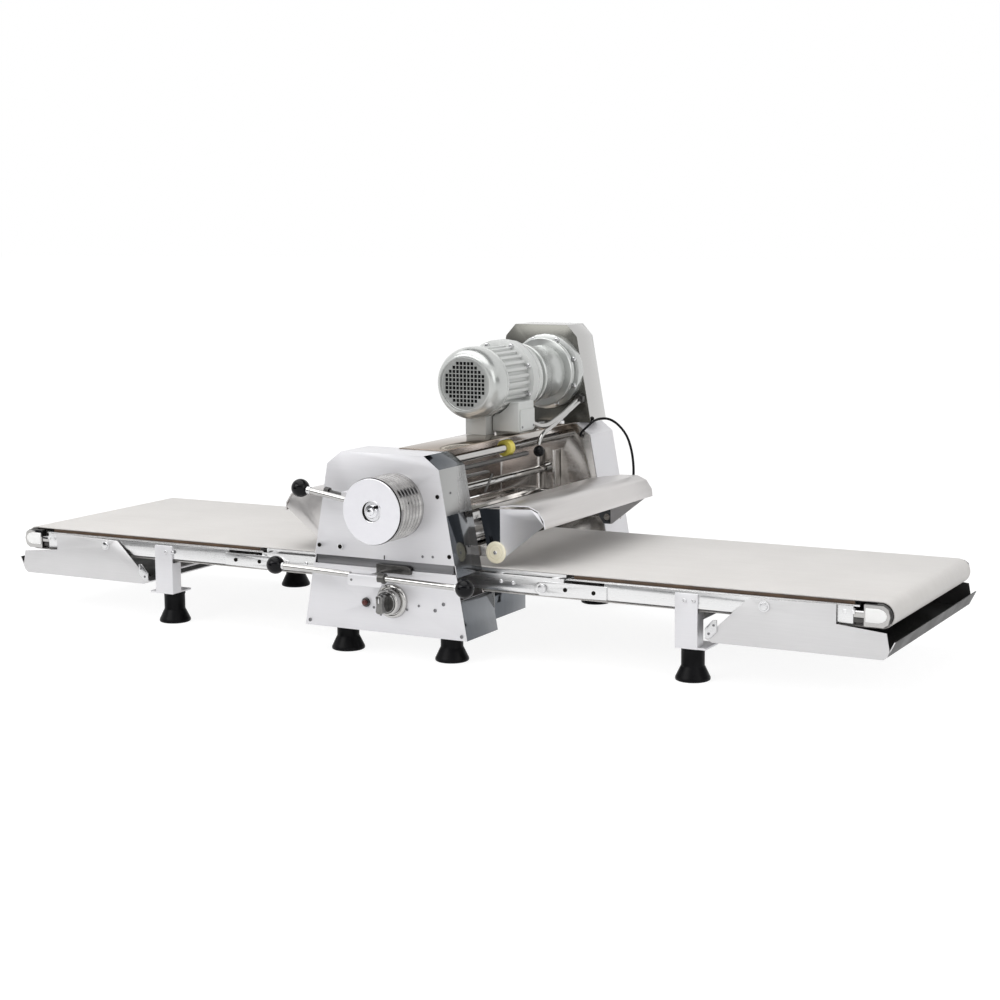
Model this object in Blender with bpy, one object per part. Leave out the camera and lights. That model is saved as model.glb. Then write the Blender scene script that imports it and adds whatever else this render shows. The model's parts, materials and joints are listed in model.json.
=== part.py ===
"""Bench dough sheeter: two folding belt tables, a pair of press rollers, a top motor.

Sizes are millimetres, measured across the bench (x), back from the front cover (depth)
and up from the bench (z). Objects are placed in metres, +Z up, centred on the bench.
"""
import math

import bpy
import bmesh
from mathutils import Matrix, Vector

MM = 0.001
GAP = 0.3               # clearance between pieces that touch
ROUND = 24              # sides of a turned piece

# --- belts and tables ----------------------------------------------------------------
BELT_WIDTH = 500.0
BELT_FRONT = 102.0      # depth of the belts' front edge
BELT_BACK = BELT_FRONT + BELT_WIDTH
BELT_MIDDLE = BELT_FRONT + BELT_WIDTH / 2
BELT_TOP = 186.0        # height of the working surface
BELT_THICK = 2.5
BELT_RADIUS = 25.0      # outside of the belt where it turns
BELT_LOW = BELT_TOP - 2 * BELT_RADIUS
TABLE_REACH = 1008.0    # belt end from the centre of the head
BELT_NEAR = 50.0        # belt end beside the press rollers
DRIVE_ROLLER_X = BELT_NEAR + BELT_RADIUS
ROLLER_SHAFT = 6.0      # radius of a drive roller's shaft
END_AXLE = 7.0          # radius of a table's end axle
BED_THICK = 8.0
RAIL_THICK = 6.0
RAIL_HEIGHT = 32.0
RAIL_LOW = 144.0        # lower edge of the table rails
RAIL_SIDE_GAP = 8.3     # rail face to belt edge
LINK_THICK = 4.0        # link plates and leg plates outside the rails
ARM_START = 60.0        # inner end of the fixed arms, from the centre
HINGE_X = 310.0         # table fold axis
HINGE_Z = 156.0
HINGE_ROD = 6.0         # radius of the fold rod and of the pan pivots
STUB_REACH = HINGE_X + 44.0
LEAF_START = HINGE_X + 131.0
LEG_X = HINGE_X + 302.0
LEG_WIDTH = 46.0
TABLE_FOOT_HEIGHT = 66.0
PAN_REACH = TABLE_REACH + 8.0
PAN_INNER = LEG_X + 38.0
PAN_PIVOT_X = PAN_REACH - 248.0
PAN_PIVOT_Z = 162.0
PAN_FLOOR_Z = 84.0
PAN_THICK = 2.0
PAN_SIDE_GAP = 7.0      # rail face to the outside of a pan cheek

# --- head ----------------------------------------------------------------------------
FRONT_PLATE = 94.0      # depth of the front side plate's outer face
REAR_PLATE = BELT_BACK + 71.0   # depth of the rear side plate's inner face
PLATE_THICK = 6.0
HEAD_DEPTH = REAR_PLATE + 115.0  # front cover to the back of the rear cover
WHEEL_REACH = 96.0      # how far the gap wheel stands out of the front cover
MID_DEPTH = (HEAD_DEPTH - WHEEL_REACH) / 2
COVER_BOTTOM_Z = 55.0
COVER_BOTTOM_HALF = 188.5
COVER_KINK_Z = 387.5
COVER_KINK_HALF = 128.5
COVER_TOP_Z = 413.0
COVER_TOP_HALF = 95.0
COVER_WALL = 2.0
UPPER_COVER_Z = 202.0   # lower edge of the upper front plate
SIDE_SLOT_LOW = BELT_LOW - 2.0  # side opening for the belts and table arms
SIDE_SLOT_HIGH = 178.0
UPPER_COVER_DEPTH = BELT_FRONT - GAP
LOWER_COVER_DEPTH = 125.0
TOWER_FRONT = REAR_PLATE + 12.0
TOWER_BACK = TOWER_FRONT + 80.0
TOWER_TOP_Z = 630.0
TOWER_WALL = 3.0
MAIN_FOOT_X = 122.0
MAIN_FOOT_HEIGHT = 57.0
MAIN_FOOT_DEPTHS = (56.0, REAR_PLATE + 42.0)
BASE_RAIL_TOP = 63.0    # top of the plates over the feet
BEAM_INNER = 104.0      # base beams, from the centre
BEAM_OUTER = 124.0
BEAM_TOP_Z = 112.0
CONTROL_BACK = 258.0    # depth of the control box's back wall

# --- rollers and gap setting -----------------------------------------------------------
PRESS_RADIUS = 38.0
LOWER_ROLLER_Z = 147.0
REST_GAP = 5.0
UPPER_ROLLER_Z = LOWER_ROLLER_Z + 2 * PRESS_RADIUS + REST_GAP
SHAFT_RADIUS = 12.0
CARRIAGE_FRONT = 122.0  # depth where the carriage's front block ends
CARRIAGE_BLOCK = 27.0   # rear side plate to the face of the carriage's rear block
WHEEL_X = 30.0
WHEEL_Z = 312.0
WHEEL_RADIUS = 65.0
WHEEL_BACK = -9.0       # depth of the wheel's back face
GAP_SHAFT_RADIUS = 8.0
CAM_RADIUS = 12.0
LEVER_ANGLE = math.radians(171.0)
LEVER_LENGTH = 192.0
LEVER_DEPTH = -50.0
KNOB_RADIUS = 18.5
ROD_RADIUS = 6.0
PIN_RADIUS = 4.0        # index pin

# --- controls on the lower front plate, as (x, z) ----------------------------------------
LEVER_HUB = (-8.0, 166.0)
SWITCH_AT = (19.0, 121.0)
LAMP_AT = (-42.0, 113.0)
HUB_SHAFT = 7.0
SWITCH_STEM = 10.0
LAMP_STEM = 5.0

# --- guards ----------------------------------------------------------------------------
GUARD_PIVOT_X = 196.0
GUARD_PIVOT_Z = 215.0
GUARD_FRONT = BELT_FRONT + 4.3
GUARD_BACK = BELT_BACK + 16.0
GUARD_WALL = 2.0
BUSH_RADIUS = 22.0
BUSH_STEM = 8.0
REAR_STUD = 7.0

# --- motor -----------------------------------------------------------------------------
MOTOR_X = 22.0
MOTOR_Z = 527.0
MOTOR_RADIUS = 76.0
MOTOR_FRONT = TOWER_FRONT - 391.0
MOTOR_FLANGE = MOTOR_FRONT + 180.0  # depth of the joint between motor and gearbox
FIN_COUNT = 30
SPROCKET_DEPTH = REAR_PLATE + 47.0
SPROCKET_WIDTH = 8.0
LARGE_SPROCKET = 45.0
SMALL_SPROCKET = 30.0

# --- cables ------------------------------------------------------------------------------
CONDUIT_RADIUS = 6.5
CONDUIT_ROUTE = [(94, -223, 448), (95, -185, 446), (97, -125, 453), (99, -65, 466),
                 (99, -27, 474), (99, -13, 475)]    # depths from the tower's front face
CABLE_RADIUS = 2.8
CABLE_ROUTE = [(110, -0.6, 386), (110, -5, 386), (110, -10, 386.5), (112, -17, 389),
               (120, -22, 398), (128, -13, 408), (129, 17, 417), (133, 43, 420),
               (152, 49, 419), (178, 41, 408), (205, 27, 386), (226, 7, 356),
               (240, -13, 322), (243, -23, 290), (232, -16, 264), (210, -8, 250),
               (188, -5, 246), (177, -4, 238)]      # depths from the rear side plate

for old in list(bpy.data.objects):
    bpy.data.objects.remove(old)


def finish(name, colour, roughness, metallic):
    """A plain material for one kind of surface."""
    made = bpy.data.materials.get(name)
    if made:
        return made
    made = bpy.data.materials.new(name)
    made.use_nodes = True
    shader = made.node_tree.nodes["Principled BSDF"]
    shader.inputs["Base Color"].default_value = (*colour, 1.0)
    shader.inputs["Roughness"].default_value = roughness
    shader.inputs["Metallic"].default_value = metallic
    return made


STEEL = finish("polished_steel", (0.78, 0.78, 0.79), 0.25, 1.0)
PANEL = finish("brushed_panel", (0.80, 0.79, 0.83), 0.40, 0.9)
FRAME = finish("frame_steel", (0.60, 0.60, 0.61), 0.45, 0.9)
ALLOY = finish("turned_aluminium", (0.80, 0.80, 0.81), 0.30, 1.0)
BELT = finish("belt_canvas", (0.80, 0.79, 0.77), 0.85, 0.0)
RUBBER = finish("foot_rubber", (0.02, 0.02, 0.02), 0.70, 0.0)
CAST = finish("motor_paint", (0.52, 0.53, 0.52), 0.45, 0.3)
NYLON = finish("cream_nylon", (0.85, 0.80, 0.60), 0.50, 0.0)
BLACK = finish("black_plastic", (0.02, 0.02, 0.02), 0.30, 0.0)
RED = finish("lamp_red", (0.60, 0.05, 0.03), 0.20, 0.0)


def place(x, depth, z):
    """World point, in metres, of a place given across, back and up."""
    return Vector((x * MM, (depth - MID_DEPTH) * MM, z * MM))


def add(name, mesh_bm, material, origin=(0.0, MID_DEPTH, 0.0)):
    """One object from a bmesh made in world metres, with its origin on a joint axis."""
    mesh = bpy.data.meshes.new(name)
    bmesh.ops.recalc_face_normals(mesh_bm, faces=mesh_bm.faces)
    centre = place(*origin)
    bmesh.ops.translate(mesh_bm, vec=-centre, verts=mesh_bm.verts)
    mesh_bm.to_mesh(mesh)
    mesh_bm.free()
    mesh.shade_smooth()
    mesh.set_sharp_from_angle(angle=math.radians(32))
    mesh.materials.append(material)
    obj = bpy.data.objects.new(name, mesh)
    obj.location = centre
    bpy.context.collection.objects.link(obj)
    return obj


def box_bm(x0, x1, d0, d1, z0, z1):
    """A block between two corners."""
    low = place(min(x0, x1), d0, z0)
    high = place(max(x0, x1), d1, z1)
    bm = bmesh.new()
    scaled = Matrix.Diagonal((*(high - low), 1.0))
    bmesh.ops.create_cube(bm, size=1.0, matrix=Matrix.Translation((low + high) / 2) @ scaled)
    return bm


def slab_bm(outline, d0, d1):
    """An outline of (x, z) points, extruded from one depth to another."""
    bm = bmesh.new()
    front = [bm.verts.new(place(x, d0, z)) for x, z in outline]
    face = bm.faces.new(front)
    grown = bmesh.ops.extrude_face_region(bm, geom=[face])
    moved = [item for item in grown["geom"] if isinstance(item, bmesh.types.BMVert)]
    bmesh.ops.translate(bm, vec=Vector((0, (d1 - d0) * MM, 0)), verts=moved)
    return bm


def turned_bm(profile, x, z, sides=ROUND):
    """A profile of (depth, radius) points turned about an axis along the depth."""
    bm = bmesh.new()
    rings = []
    for depth, radius in profile:
        ring = []
        for step in range(sides):
            angle = 2 * math.pi * step / sides
            spot = place(x + radius * math.cos(angle), depth, z + radius * math.sin(angle))
            ring.append(bm.verts.new(spot))
        rings.append(ring)
    for near, far in zip(rings, rings[1:]):
        for step in range(sides):
            after = (step + 1) % sides
            bm.faces.new((near[step], near[after], far[after], far[step]))
    bm.faces.new(rings[0])
    bm.faces.new(rings[-1])
    return bm


def bore_bm(start, stop, radius, x, z, sides=24):
    """A cutter for a running hole along the depth, with the usual clearance."""
    return turned_bm([(start, radius + GAP), (stop, radius + GAP)], x, z, sides)


def upright_bm(profile, x, depth, sides=24):
    """A profile of (height, radius) points turned about a vertical axis."""
    bm = turned_bm([(z, radius) for z, radius in profile], 0.0, 0.0, sides)
    turn = Matrix.Rotation(math.radians(90), 4, "X")
    bmesh.ops.transform(bm, matrix=Matrix.Translation((0, MID_DEPTH * MM, 0)), verts=bm.verts)
    bmesh.ops.transform(bm, matrix=turn, verts=bm.verts)
    bmesh.ops.translate(bm, vec=place(x, depth, 0), verts=bm.verts)
    return bm


def rod_bm(start, end, radius, sides=16):
    """A round bar between two places."""
    first, last = place(*start), place(*end)
    along = last - first
    bm = bmesh.new()
    turn = along.to_track_quat("Z", "Y").to_matrix().to_4x4()
    middle = Matrix.Translation((first + last) / 2) @ turn
    bmesh.ops.create_cone(bm, cap_ends=True, segments=sides, radius1=radius * MM, radius2=radius * MM,
                          depth=along.length, matrix=middle)
    return bm


def ball_bm(x, depth, z, radius):
    """A ball."""
    bm = bmesh.new()
    bmesh.ops.create_uvsphere(bm, u_segments=16, v_segments=10, radius=radius * MM,
                              matrix=Matrix.Translation(place(x, depth, z)))
    return bm


def helper(bm, target, operation):
    """A hidden tool solid, and the Boolean on the target that uses it."""
    tool = add(target.name + "_tool", bm, FRAME)
    tool.hide_render = True
    tool.display_type = "WIRE"
    change = target.modifiers.new(operation.lower(), "BOOLEAN")
    change.operation = operation
    change.solver = "EXACT"
    change.object = tool


def cut(target, *tools):
    for bm in tools:
        helper(bm, target, "DIFFERENCE")


def fuse(target, *tools):
    for bm in tools:
        helper(bm, target, "UNION")


def cover_half(z, inset=0.0):
    """Half width of the head's covers at a height."""
    if z > COVER_KINK_Z:
        share = (z - COVER_KINK_Z) / (COVER_TOP_Z - COVER_KINK_Z)
        return COVER_KINK_HALF + (COVER_TOP_HALF - COVER_KINK_HALF) * share - inset
    share = (z - COVER_BOTTOM_Z) / (COVER_KINK_Z - COVER_BOTTOM_Z)
    return COVER_BOTTOM_HALF + (COVER_KINK_HALF - COVER_BOTTOM_HALF) * share - inset


def cover_outline(low_z, inset=0.0, top_inset=None):
    """The head's outline from a height up to its chamfered top."""
    top = COVER_TOP_Z - (inset if top_inset is None else top_inset)
    right = [(cover_half(low_z, inset), low_z), (COVER_KINK_HALF - inset, COVER_KINK_Z - inset / 3),
             (COVER_TOP_HALF - inset / 2, top)]
    return right + [(-x, z) for x, z in reversed(right)]


def front_upper_cover():
    shell = slab_bm(cover_outline(SIDE_SLOT_HIGH), 0, UPPER_COVER_DEPTH)
    cover = add("front_upper_cover", shell, PANEL)
    cut(cover, slab_bm(cover_outline(SIDE_SLOT_HIGH - 5, COVER_WALL), COVER_WALL,
                       UPPER_COVER_DEPTH + 5))
    half = cover_half(SIDE_SLOT_HIGH) + 5
    cut(cover, box_bm(-half, half, -5, COVER_WALL + 1, SIDE_SLOT_HIGH - 5, UPPER_COVER_Z))
    post = index_place(100.0)
    fuse(cover, box_bm(post[0] - 7, post[0] + 7, -32, 1, post[2] - 9, post[2] + 9))
    cut(cover, rod_bm(index_place(80.0), index_place(120.0), PIN_RADIUS + GAP))
    cut(cover, bore_bm(-5, 8, GAP_SHAFT_RADIUS, WHEEL_X, WHEEL_Z, ROUND))


def front_lower_cover():
    top = UPPER_COVER_Z - 18
    half_top, half_low = cover_half(top), cover_half(COVER_BOTTOM_Z)
    plate = [(-half_low, COVER_BOTTOM_Z), (half_low, COVER_BOTTOM_Z), (half_top, top), (-half_top, top)]
    cover = add("front_lower_cover", slab_bm(plate, 0, COVER_WALL), PANEL)
    side_half = cover_half(SIDE_SLOT_LOW)
    for sign in (1, -1):
        wall = [(half_low, COVER_BOTTOM_Z), (side_half, SIDE_SLOT_LOW),
                (side_half - COVER_WALL, SIDE_SLOT_LOW), (half_low - COVER_WALL, COVER_BOTTOM_Z)]
        fuse(cover, slab_bm([(sign * x, z) for x, z in wall], 1, LOWER_COVER_DEPTH))
    fuse(cover, box_bm(-half_low + 1, half_low - 1, 1, 20, COVER_BOTTOM_Z,
                       COVER_BOTTOM_Z + COVER_WALL))
    fuse(cover, box_bm(-155, 155, 1, 6, top - 3, top))
    fuse(cover, box_bm(-155, 155, 4, 6, top - 3, UPPER_COVER_Z + 6))
    for at, radius in ((LEVER_HUB, HUB_SHAFT), (SWITCH_AT, SWITCH_STEM), (LAMP_AT, LAMP_STEM)):
        cut(cover, bore_bm(-5, 8, radius, *at, ROUND))


def rear_cover():
    cover = add("rear_cover", slab_bm(cover_outline(COVER_BOTTOM_Z), REAR_PLATE, HEAD_DEPTH), PANEL)
    cut(cover, slab_bm(cover_outline(COVER_BOTTOM_Z - 5, COVER_WALL), REAR_PLATE - 5,
                       HEAD_DEPTH - COVER_WALL))
    cut(cover, box_bm(-80, 80, TOWER_FRONT + 5, TOWER_BACK - 5, COVER_TOP_Z - 8, COVER_TOP_Z + 5))


def tower_outline(inset):
    low, shoulder = COVER_TOP_Z + GAP, TOWER_TOP_Z - 26
    slope = (COVER_BOTTOM_HALF - COVER_KINK_HALF) / (COVER_KINK_Z - COVER_BOTTOM_Z)
    low_half = COVER_BOTTOM_HALF - slope * (low - COVER_BOTTOM_Z) - inset
    high_half = COVER_BOTTOM_HALF - slope * (shoulder - COVER_BOTTOM_Z) - inset
    right = [(low_half, low + inset), (high_half, shoulder), (high_half - 24, TOWER_TOP_Z - inset)]
    return right + [(-x, z) for x, z in reversed(right)]


def drive_tower():
    tower = add("drive_tower", slab_bm(tower_outline(0), TOWER_FRONT, TOWER_BACK), PANEL)
    cut(tower, slab_bm(tower_outline(TOWER_WALL), TOWER_FRONT + TOWER_WALL, TOWER_BACK - TOWER_WALL))
    cut(tower, box_bm(-80, 80, TOWER_FRONT + 5, TOWER_BACK - 5, COVER_TOP_Z - 5, COVER_TOP_Z + 8))
    cut(tower, turned_bm([(TOWER_FRONT - 5, 14), (TOWER_FRONT + 8, 14)], MOTOR_X, MOTOR_Z))


def side_plates():
    inset = COVER_WALL + GAP
    outline = cover_outline(BASE_RAIL_TOP + GAP, inset, inset)
    plates = []
    for end, at in (("front", FRONT_PLATE), ("rear", REAR_PLATE)):
        plate = add(end + "_side_plate", slab_bm(outline, at, at + PLATE_THICK), FRAME)
        cut(plate, bore_bm(at - 5, at + PLATE_THICK + 5, SHAFT_RADIUS, 0, LOWER_ROLLER_Z, ROUND))
        cut(plate, bore_bm(at - 5, at + PLATE_THICK + 5, GAP_SHAFT_RADIUS, WHEEL_X, WHEEL_Z, ROUND))
        plates.append(plate)
    front, rear = plates
    ear_low, ear_top = GUARD_PIVOT_Z - 10, GUARD_PIVOT_Z + 10
    ear_end = GUARD_PIVOT_X + 10
    for sign in (1, -1):
        cut(front, bore_bm(FRONT_PLATE - 5, FRONT_PLATE + 15, ROLLER_SHAFT, sign * DRIVE_ROLLER_X,
                           BELT_TOP - BELT_RADIUS, ROUND))
        fuse(front, box_bm(sign * 120, sign * 140, FRONT_PLATE + 2, GUARD_FRONT + 5, ear_low, ear_top))
        fuse(front, box_bm(sign * 120, sign * ear_end, GUARD_FRONT + 2.7, GUARD_FRONT + 7,
                           ear_low, ear_top))
        fuse(rear, box_bm(sign * 120, sign * 140, REAR_PLATE - 7, REAR_PLATE + 2, ear_low, ear_top))
        fuse(rear, box_bm(sign * 120, sign * ear_end, REAR_PLATE - 7, REAR_PLATE - GAP, ear_low, ear_top))
        stud = [(GUARD_BACK - 4, REAR_STUD), (GUARD_BACK + GAP, REAR_STUD),
                (GUARD_BACK + GAP, 12.0), (REAR_PLATE - 6, 12.0)]
        fuse(rear, turned_bm(stud, sign * GUARD_PIVOT_X, GUARD_PIVOT_Z, 24))


def base_frame():
    low = MAIN_FOOT_HEIGHT + GAP
    web_front, web_back = FRONT_PLATE + PLATE_THICK + GAP, REAR_PLATE - GAP
    frame = add("base_frame", box_bm(-160, 160, 30, web_front + 12, low, BASE_RAIL_TOP), FRAME)
    fuse(frame, box_bm(-160, 160, web_back - 12, REAR_PLATE + 87, low, BASE_RAIL_TOP))
    for sign in (1, -1):
        x0, x1 = sign * BEAM_INNER, sign * BEAM_OUTER
        fuse(frame, box_bm(x0, x1, web_front, web_front + 10, low + 1, BEAM_TOP_Z - 4))
        fuse(frame, box_bm(x0, x1, web_back - 10, web_back, low + 1, BEAM_TOP_Z - 4))
        fuse(frame, box_bm(x0, x1, web_front + 5, web_back - 5, BEAM_TOP_Z - 28, BEAM_TOP_Z))
    fuse(frame, box_bm(-110, 110, 380, 400, 86, 100))


def control_box():
    front, back, low, half = LOWER_COVER_DEPTH + 1, CONTROL_BACK, 75.0, 181.0
    top = SIDE_SLOT_LOW
    roller_half = PRESS_RADIUS + 7
    roller_low = LOWER_ROLLER_Z - PRESS_RADIUS - 9
    box = add("control_box", box_bm(-half, half, front, back, low, top), STEEL)
    cut(box, box_bm(-half + 2, half - 2, front + 2, back - 2, low - 5, top - 2))
    cut(box, box_bm(-roller_half, roller_half, front - 5, back + 5, roller_low, top + 5))
    for sign in (1, -1):
        inner, outer = sign * (BEAM_INNER - GAP), sign * (BEAM_OUTER + GAP)
        cut(box, box_bm(inner, outer, front - 5, back + 5, low - 5, BEAM_TOP_Z + GAP))


def main_feet():
    for end, depth in zip(("front", "rear"), MAIN_FOOT_DEPTHS):
        for side, sign in (("left", -1), ("right", 1)):
            profile = [(0, 32), (2, 34), (7, 34), (12, 31), (24, 26), (MAIN_FOOT_HEIGHT, 25)]
            add("main_foot_%s_%s" % (side, end), upright_bm(profile, sign * MAIN_FOOT_X, depth), RUBBER)


def press_rollers():
    start, stop = FRONT_PLATE + PLATE_THICK + 4, BELT_BACK + 48
    sprocket_back = SPROCKET_DEPTH + SPROCKET_WIDTH
    lower = [(FRONT_PLATE - 8, SHAFT_RADIUS), (start, SHAFT_RADIUS), (start, PRESS_RADIUS),
             (stop, PRESS_RADIUS), (stop, SHAFT_RADIUS), (SPROCKET_DEPTH, SHAFT_RADIUS),
             (SPROCKET_DEPTH, LARGE_SPROCKET), (sprocket_back, LARGE_SPROCKET),
             (sprocket_back, SHAFT_RADIUS), (sprocket_back + 12, SHAFT_RADIUS)]
    add("lower_press_roller", turned_bm(lower, 0, LOWER_ROLLER_Z, 32), STEEL,
        (0, BELT_MIDDLE, LOWER_ROLLER_Z))
    start, stop = CARRIAGE_FRONT + 2, REAR_PLATE - CARRIAGE_BLOCK - 2
    upper = [(start - 17, SHAFT_RADIUS), (start, SHAFT_RADIUS), (start, PRESS_RADIUS),
             (stop, PRESS_RADIUS), (stop, SHAFT_RADIUS), (stop + 17, SHAFT_RADIUS)]
    add("upper_press_roller", turned_bm(upper, 0, UPPER_ROLLER_Z, 32), STEEL,
        (0, BELT_MIDDLE, UPPER_ROLLER_Z))


def roller_carriage():
    low, top = UPPER_ROLLER_Z - 32, UPPER_ROLLER_Z + 34
    left, right = -(PRESS_RADIUS + 22), PRESS_RADIUS + 16
    front, back = FRONT_PLATE + PLATE_THICK + GAP, REAR_PLATE - GAP
    rear_block = REAR_PLATE - CARRIAGE_BLOCK
    carriage = add("roller_carriage", box_bm(left, right, front, CARRIAGE_FRONT, low, top), FRAME)
    fuse(carriage, box_bm(left, right, rear_block, back, low, top))
    fuse(carriage, box_bm(left, left + 12, front + 9, back - 14, UPPER_ROLLER_Z + 10, top - 1))
    for d0, d1 in ((front, CARRIAGE_FRONT), (rear_block, back)):
        for x0, x1 in ((WHEEL_X - 24, WHEEL_X - 16), (WHEEL_X + 16, WHEEL_X + 24)):
            fuse(carriage, box_bm(x0, x1, d0 + 1, d1 - 1, top - 4, WHEEL_Z + 40))
        cut(carriage, bore_bm(d0 - 5, d1 + 5, SHAFT_RADIUS, 0, UPPER_ROLLER_Z, ROUND))


def gap_setting():
    axis = (WHEEL_X, 0, WHEEL_Z)
    bar = [(-60, GAP_SHAFT_RADIUS), (REAR_PLATE + 5, GAP_SHAFT_RADIUS)]
    shaft = add("gap_shaft", turned_bm(bar, WHEEL_X, WHEEL_Z, 24), STEEL, axis)
    for d0 in (FRONT_PLATE + 14, REAR_PLATE - 23):
        fuse(shaft, turned_bm([(d0, CAM_RADIUS), (d0 + 10, CAM_RADIUS)], WHEEL_X + 2, WHEEL_Z, 24))
    face = 5 - WHEEL_REACH
    profile = [(-WHEEL_REACH, 12), (face, 12), (face, WHEEL_RADIUS - 1), (face + 1, WHEEL_RADIUS)]
    for groove in range(5):
        start = face + 13 + groove * 12
        profile += [(start, WHEEL_RADIUS), (start + 2, WHEEL_RADIUS - 3), (start + 7, WHEEL_RADIUS)]
    profile += [(WHEEL_BACK, WHEEL_RADIUS), (WHEEL_BACK, 20), (-GAP, 20)]
    wheel = add("gap_handwheel", turned_bm(profile, WHEEL_X, WHEEL_Z), ALLOY, axis)
    cut(wheel, bore_bm(-60 - GAP, 5, GAP_SHAFT_RADIUS, WHEEL_X, WHEEL_Z))
    cut(wheel, rod_bm(lever_place(48.0), lever_place(80.0), ROD_RADIUS + GAP))
    end = lever_place(LEVER_LENGTH)
    stem = rod_bm(lever_place(49.0), lever_place(LEVER_LENGTH - 2), ROD_RADIUS)
    lever = add("gap_lever", stem, BLACK, axis)
    fuse(lever, ball_bm(*end, KNOB_RADIUS))
    stem = rod_bm(index_place(WHEEL_RADIUS + 1), index_place(150.0), PIN_RADIUS)
    pin = add("index_pin", stem, FRAME)
    fuse(pin, rod_bm(index_place(142.0), index_place(152.0), 8.0))


def radial_place(angle, radius, depth):
    """A place on a line that runs out from the gap wheel's axis."""
    return (WHEEL_X + radius * math.cos(angle), depth, WHEEL_Z + radius * math.sin(angle))


def lever_place(radius):
    return radial_place(LEVER_ANGLE, radius, LEVER_DEPTH)


def index_place(radius):
    return radial_place(LEVER_ANGLE, radius, -21.0)


def direction_lever():
    x, z = LEVER_HUB
    left, right = (x - 216, LEVER_DEPTH, z + 16.2), (x + 220, LEVER_DEPTH, z + 3.8)
    hub = box_bm(x - 40, x + 38, LEVER_DEPTH - 8, LEVER_DEPTH + 8, z - 16, z + 18)
    lever = add("direction_lever", hub, BLACK, (x, 0, z))
    fuse(lever, turned_bm([(LEVER_DEPTH + 7, HUB_SHAFT), (60, HUB_SHAFT)], x, z, 24))
    fuse(lever, rod_bm((left[0] + 4, *left[1:]), (right[0] - 4, *right[1:]), ROD_RADIUS))
    fuse(lever, ball_bm(*left, KNOB_RADIUS))
    fuse(lever, ball_bm(*right, KNOB_RADIUS))


def switch_and_lamp():
    x, z = SWITCH_AT
    ring = [(-24, 31), (-22, 33), (-4, 33), (-GAP, 36)]
    housing = add("switch_housing", turned_bm(ring, x, z), STEEL)
    fuse(housing, turned_bm([(-1, SWITCH_STEM), (40, SWITCH_STEM)], x, z, 24))
    cut(housing, turned_bm([(-30, 6.3), (20, 6.3)], x, z, 24))
    knob = [(-52, 16), (-50, 18), (-30, 21), (-24 - GAP, 21), (-24 - GAP, 6), (10, 6)]
    add("switch_knob", turned_bm(knob, x, z, 24), BLACK, (x, 0, z))
    lens = [(-10, 4), (-8, 7), (-GAP, 8), (-GAP, LAMP_STEM), (14, LAMP_STEM)]
    add("pilot_lamp", turned_bm(lens, *LAMP_AT, 20), RED)


def tops():
    add("top_cover", box_bm(-10, 94, UPPER_COVER_DEPTH - 20, REAR_PLATE + 8, COVER_TOP_Z + GAP,
                            COVER_TOP_Z + GAP + COVER_WALL), STEEL)
    collar = BELT_MIDDLE + 6
    bar = [(FRONT_PLATE + PLATE_THICK + GAP, 9), (collar, 9), (collar, 15.5), (collar + 10, 15.5),
           (collar + 10, 9), (REAR_PLATE - GAP, 9)]
    add("tie_bar", turned_bm(bar, 82, 390, 24), STEEL)


def motor():
    x, z, r, front = MOTOR_X, MOTOR_Z, MOTOR_RADIUS, MOTOR_FRONT
    flange = MOTOR_FLANGE
    fins = []
    for step in range(FIN_COUNT):
        for share, radius in ((0.0, r - 9), (0.5, r - 3)):
            for edge in (0.02, 0.42):
                angle = 2 * math.pi * (step + share + edge) / FIN_COUNT
                fins.append((x + radius * math.cos(angle), z + radius * math.sin(angle)))
    body = add("motor_body", slab_bm(fins, front + 52, flange - 26), CAST)
    fuse(body, turned_bm([(front + 36, 56), (front + 51, 60), (front + 53, 60)], x, z))
    collar = [(flange - 28, 70), (flange - 28, r + 8), (flange - 4, r + 8), (flange - 4, 60), (flange, 60)]
    fuse(body, turned_bm(collar, x, z))
    foot_low = COVER_TOP_Z + COVER_WALL + 2 * GAP
    fuse(body, box_bm(x - 30, x + 18, front + 56, front + 96, foot_low, z - 60))
    cut(body, turned_bm([(front + 26, 7), (front + 46, 7)], x, z, 24))
    case = box_bm(x + 20, x + 84, front + 82, front + 150, COVER_TOP_Z + 9, z - 42)
    wiring = add("terminal_box", case, CAST)
    cut(wiring, turned_bm([(front + 66, r + GAP), (front + 166, r + GAP)], x, z))

    shell = [(front, 52), (front + 4, 62), (front + 14, r - 4), (front + 26, r), (front + 55, r)]
    inside = [(front + 3, 50), (front + 7, 60), (front + 16, r - 6.5), (front + 28, r - 1.6),
              (front + 58, r - 1.6)]
    cover = add("motor_fan_cover", turned_bm(shell, x, z), CAST)
    cut(cover, turned_bm(inside, x, z))
    for step in range(8):
        angle = 2 * math.pi * (step + 0.5) / 8
        hole = turned_bm([(front - 5, 9), (front + 8, 9)], x + 34 * math.cos(angle),
                         z + 34 * math.sin(angle), 12)
        cut(cover, hole)
    hub = turned_bm([(front + 10, 16), (front + 32, 16), (front + 32, 6), (front + 44, 6)], x, z, 24)
    fan = add("motor_fan", hub, BLACK, (x, front + 26, z))
    for step in range(3):
        blade = box_bm(x - 54, x + 54, front + 14, front + 30, z - 1.5, z + 1.5)
        turn = Matrix.Translation(place(x, 0, z)) @ Matrix.Rotation(math.pi * step / 3, 4, "Y")
        about = turn @ Matrix.Translation(-place(x, 0, z))
        bmesh.ops.transform(blade, matrix=about, verts=blade.verts)
        fuse(fan, blade)


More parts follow.
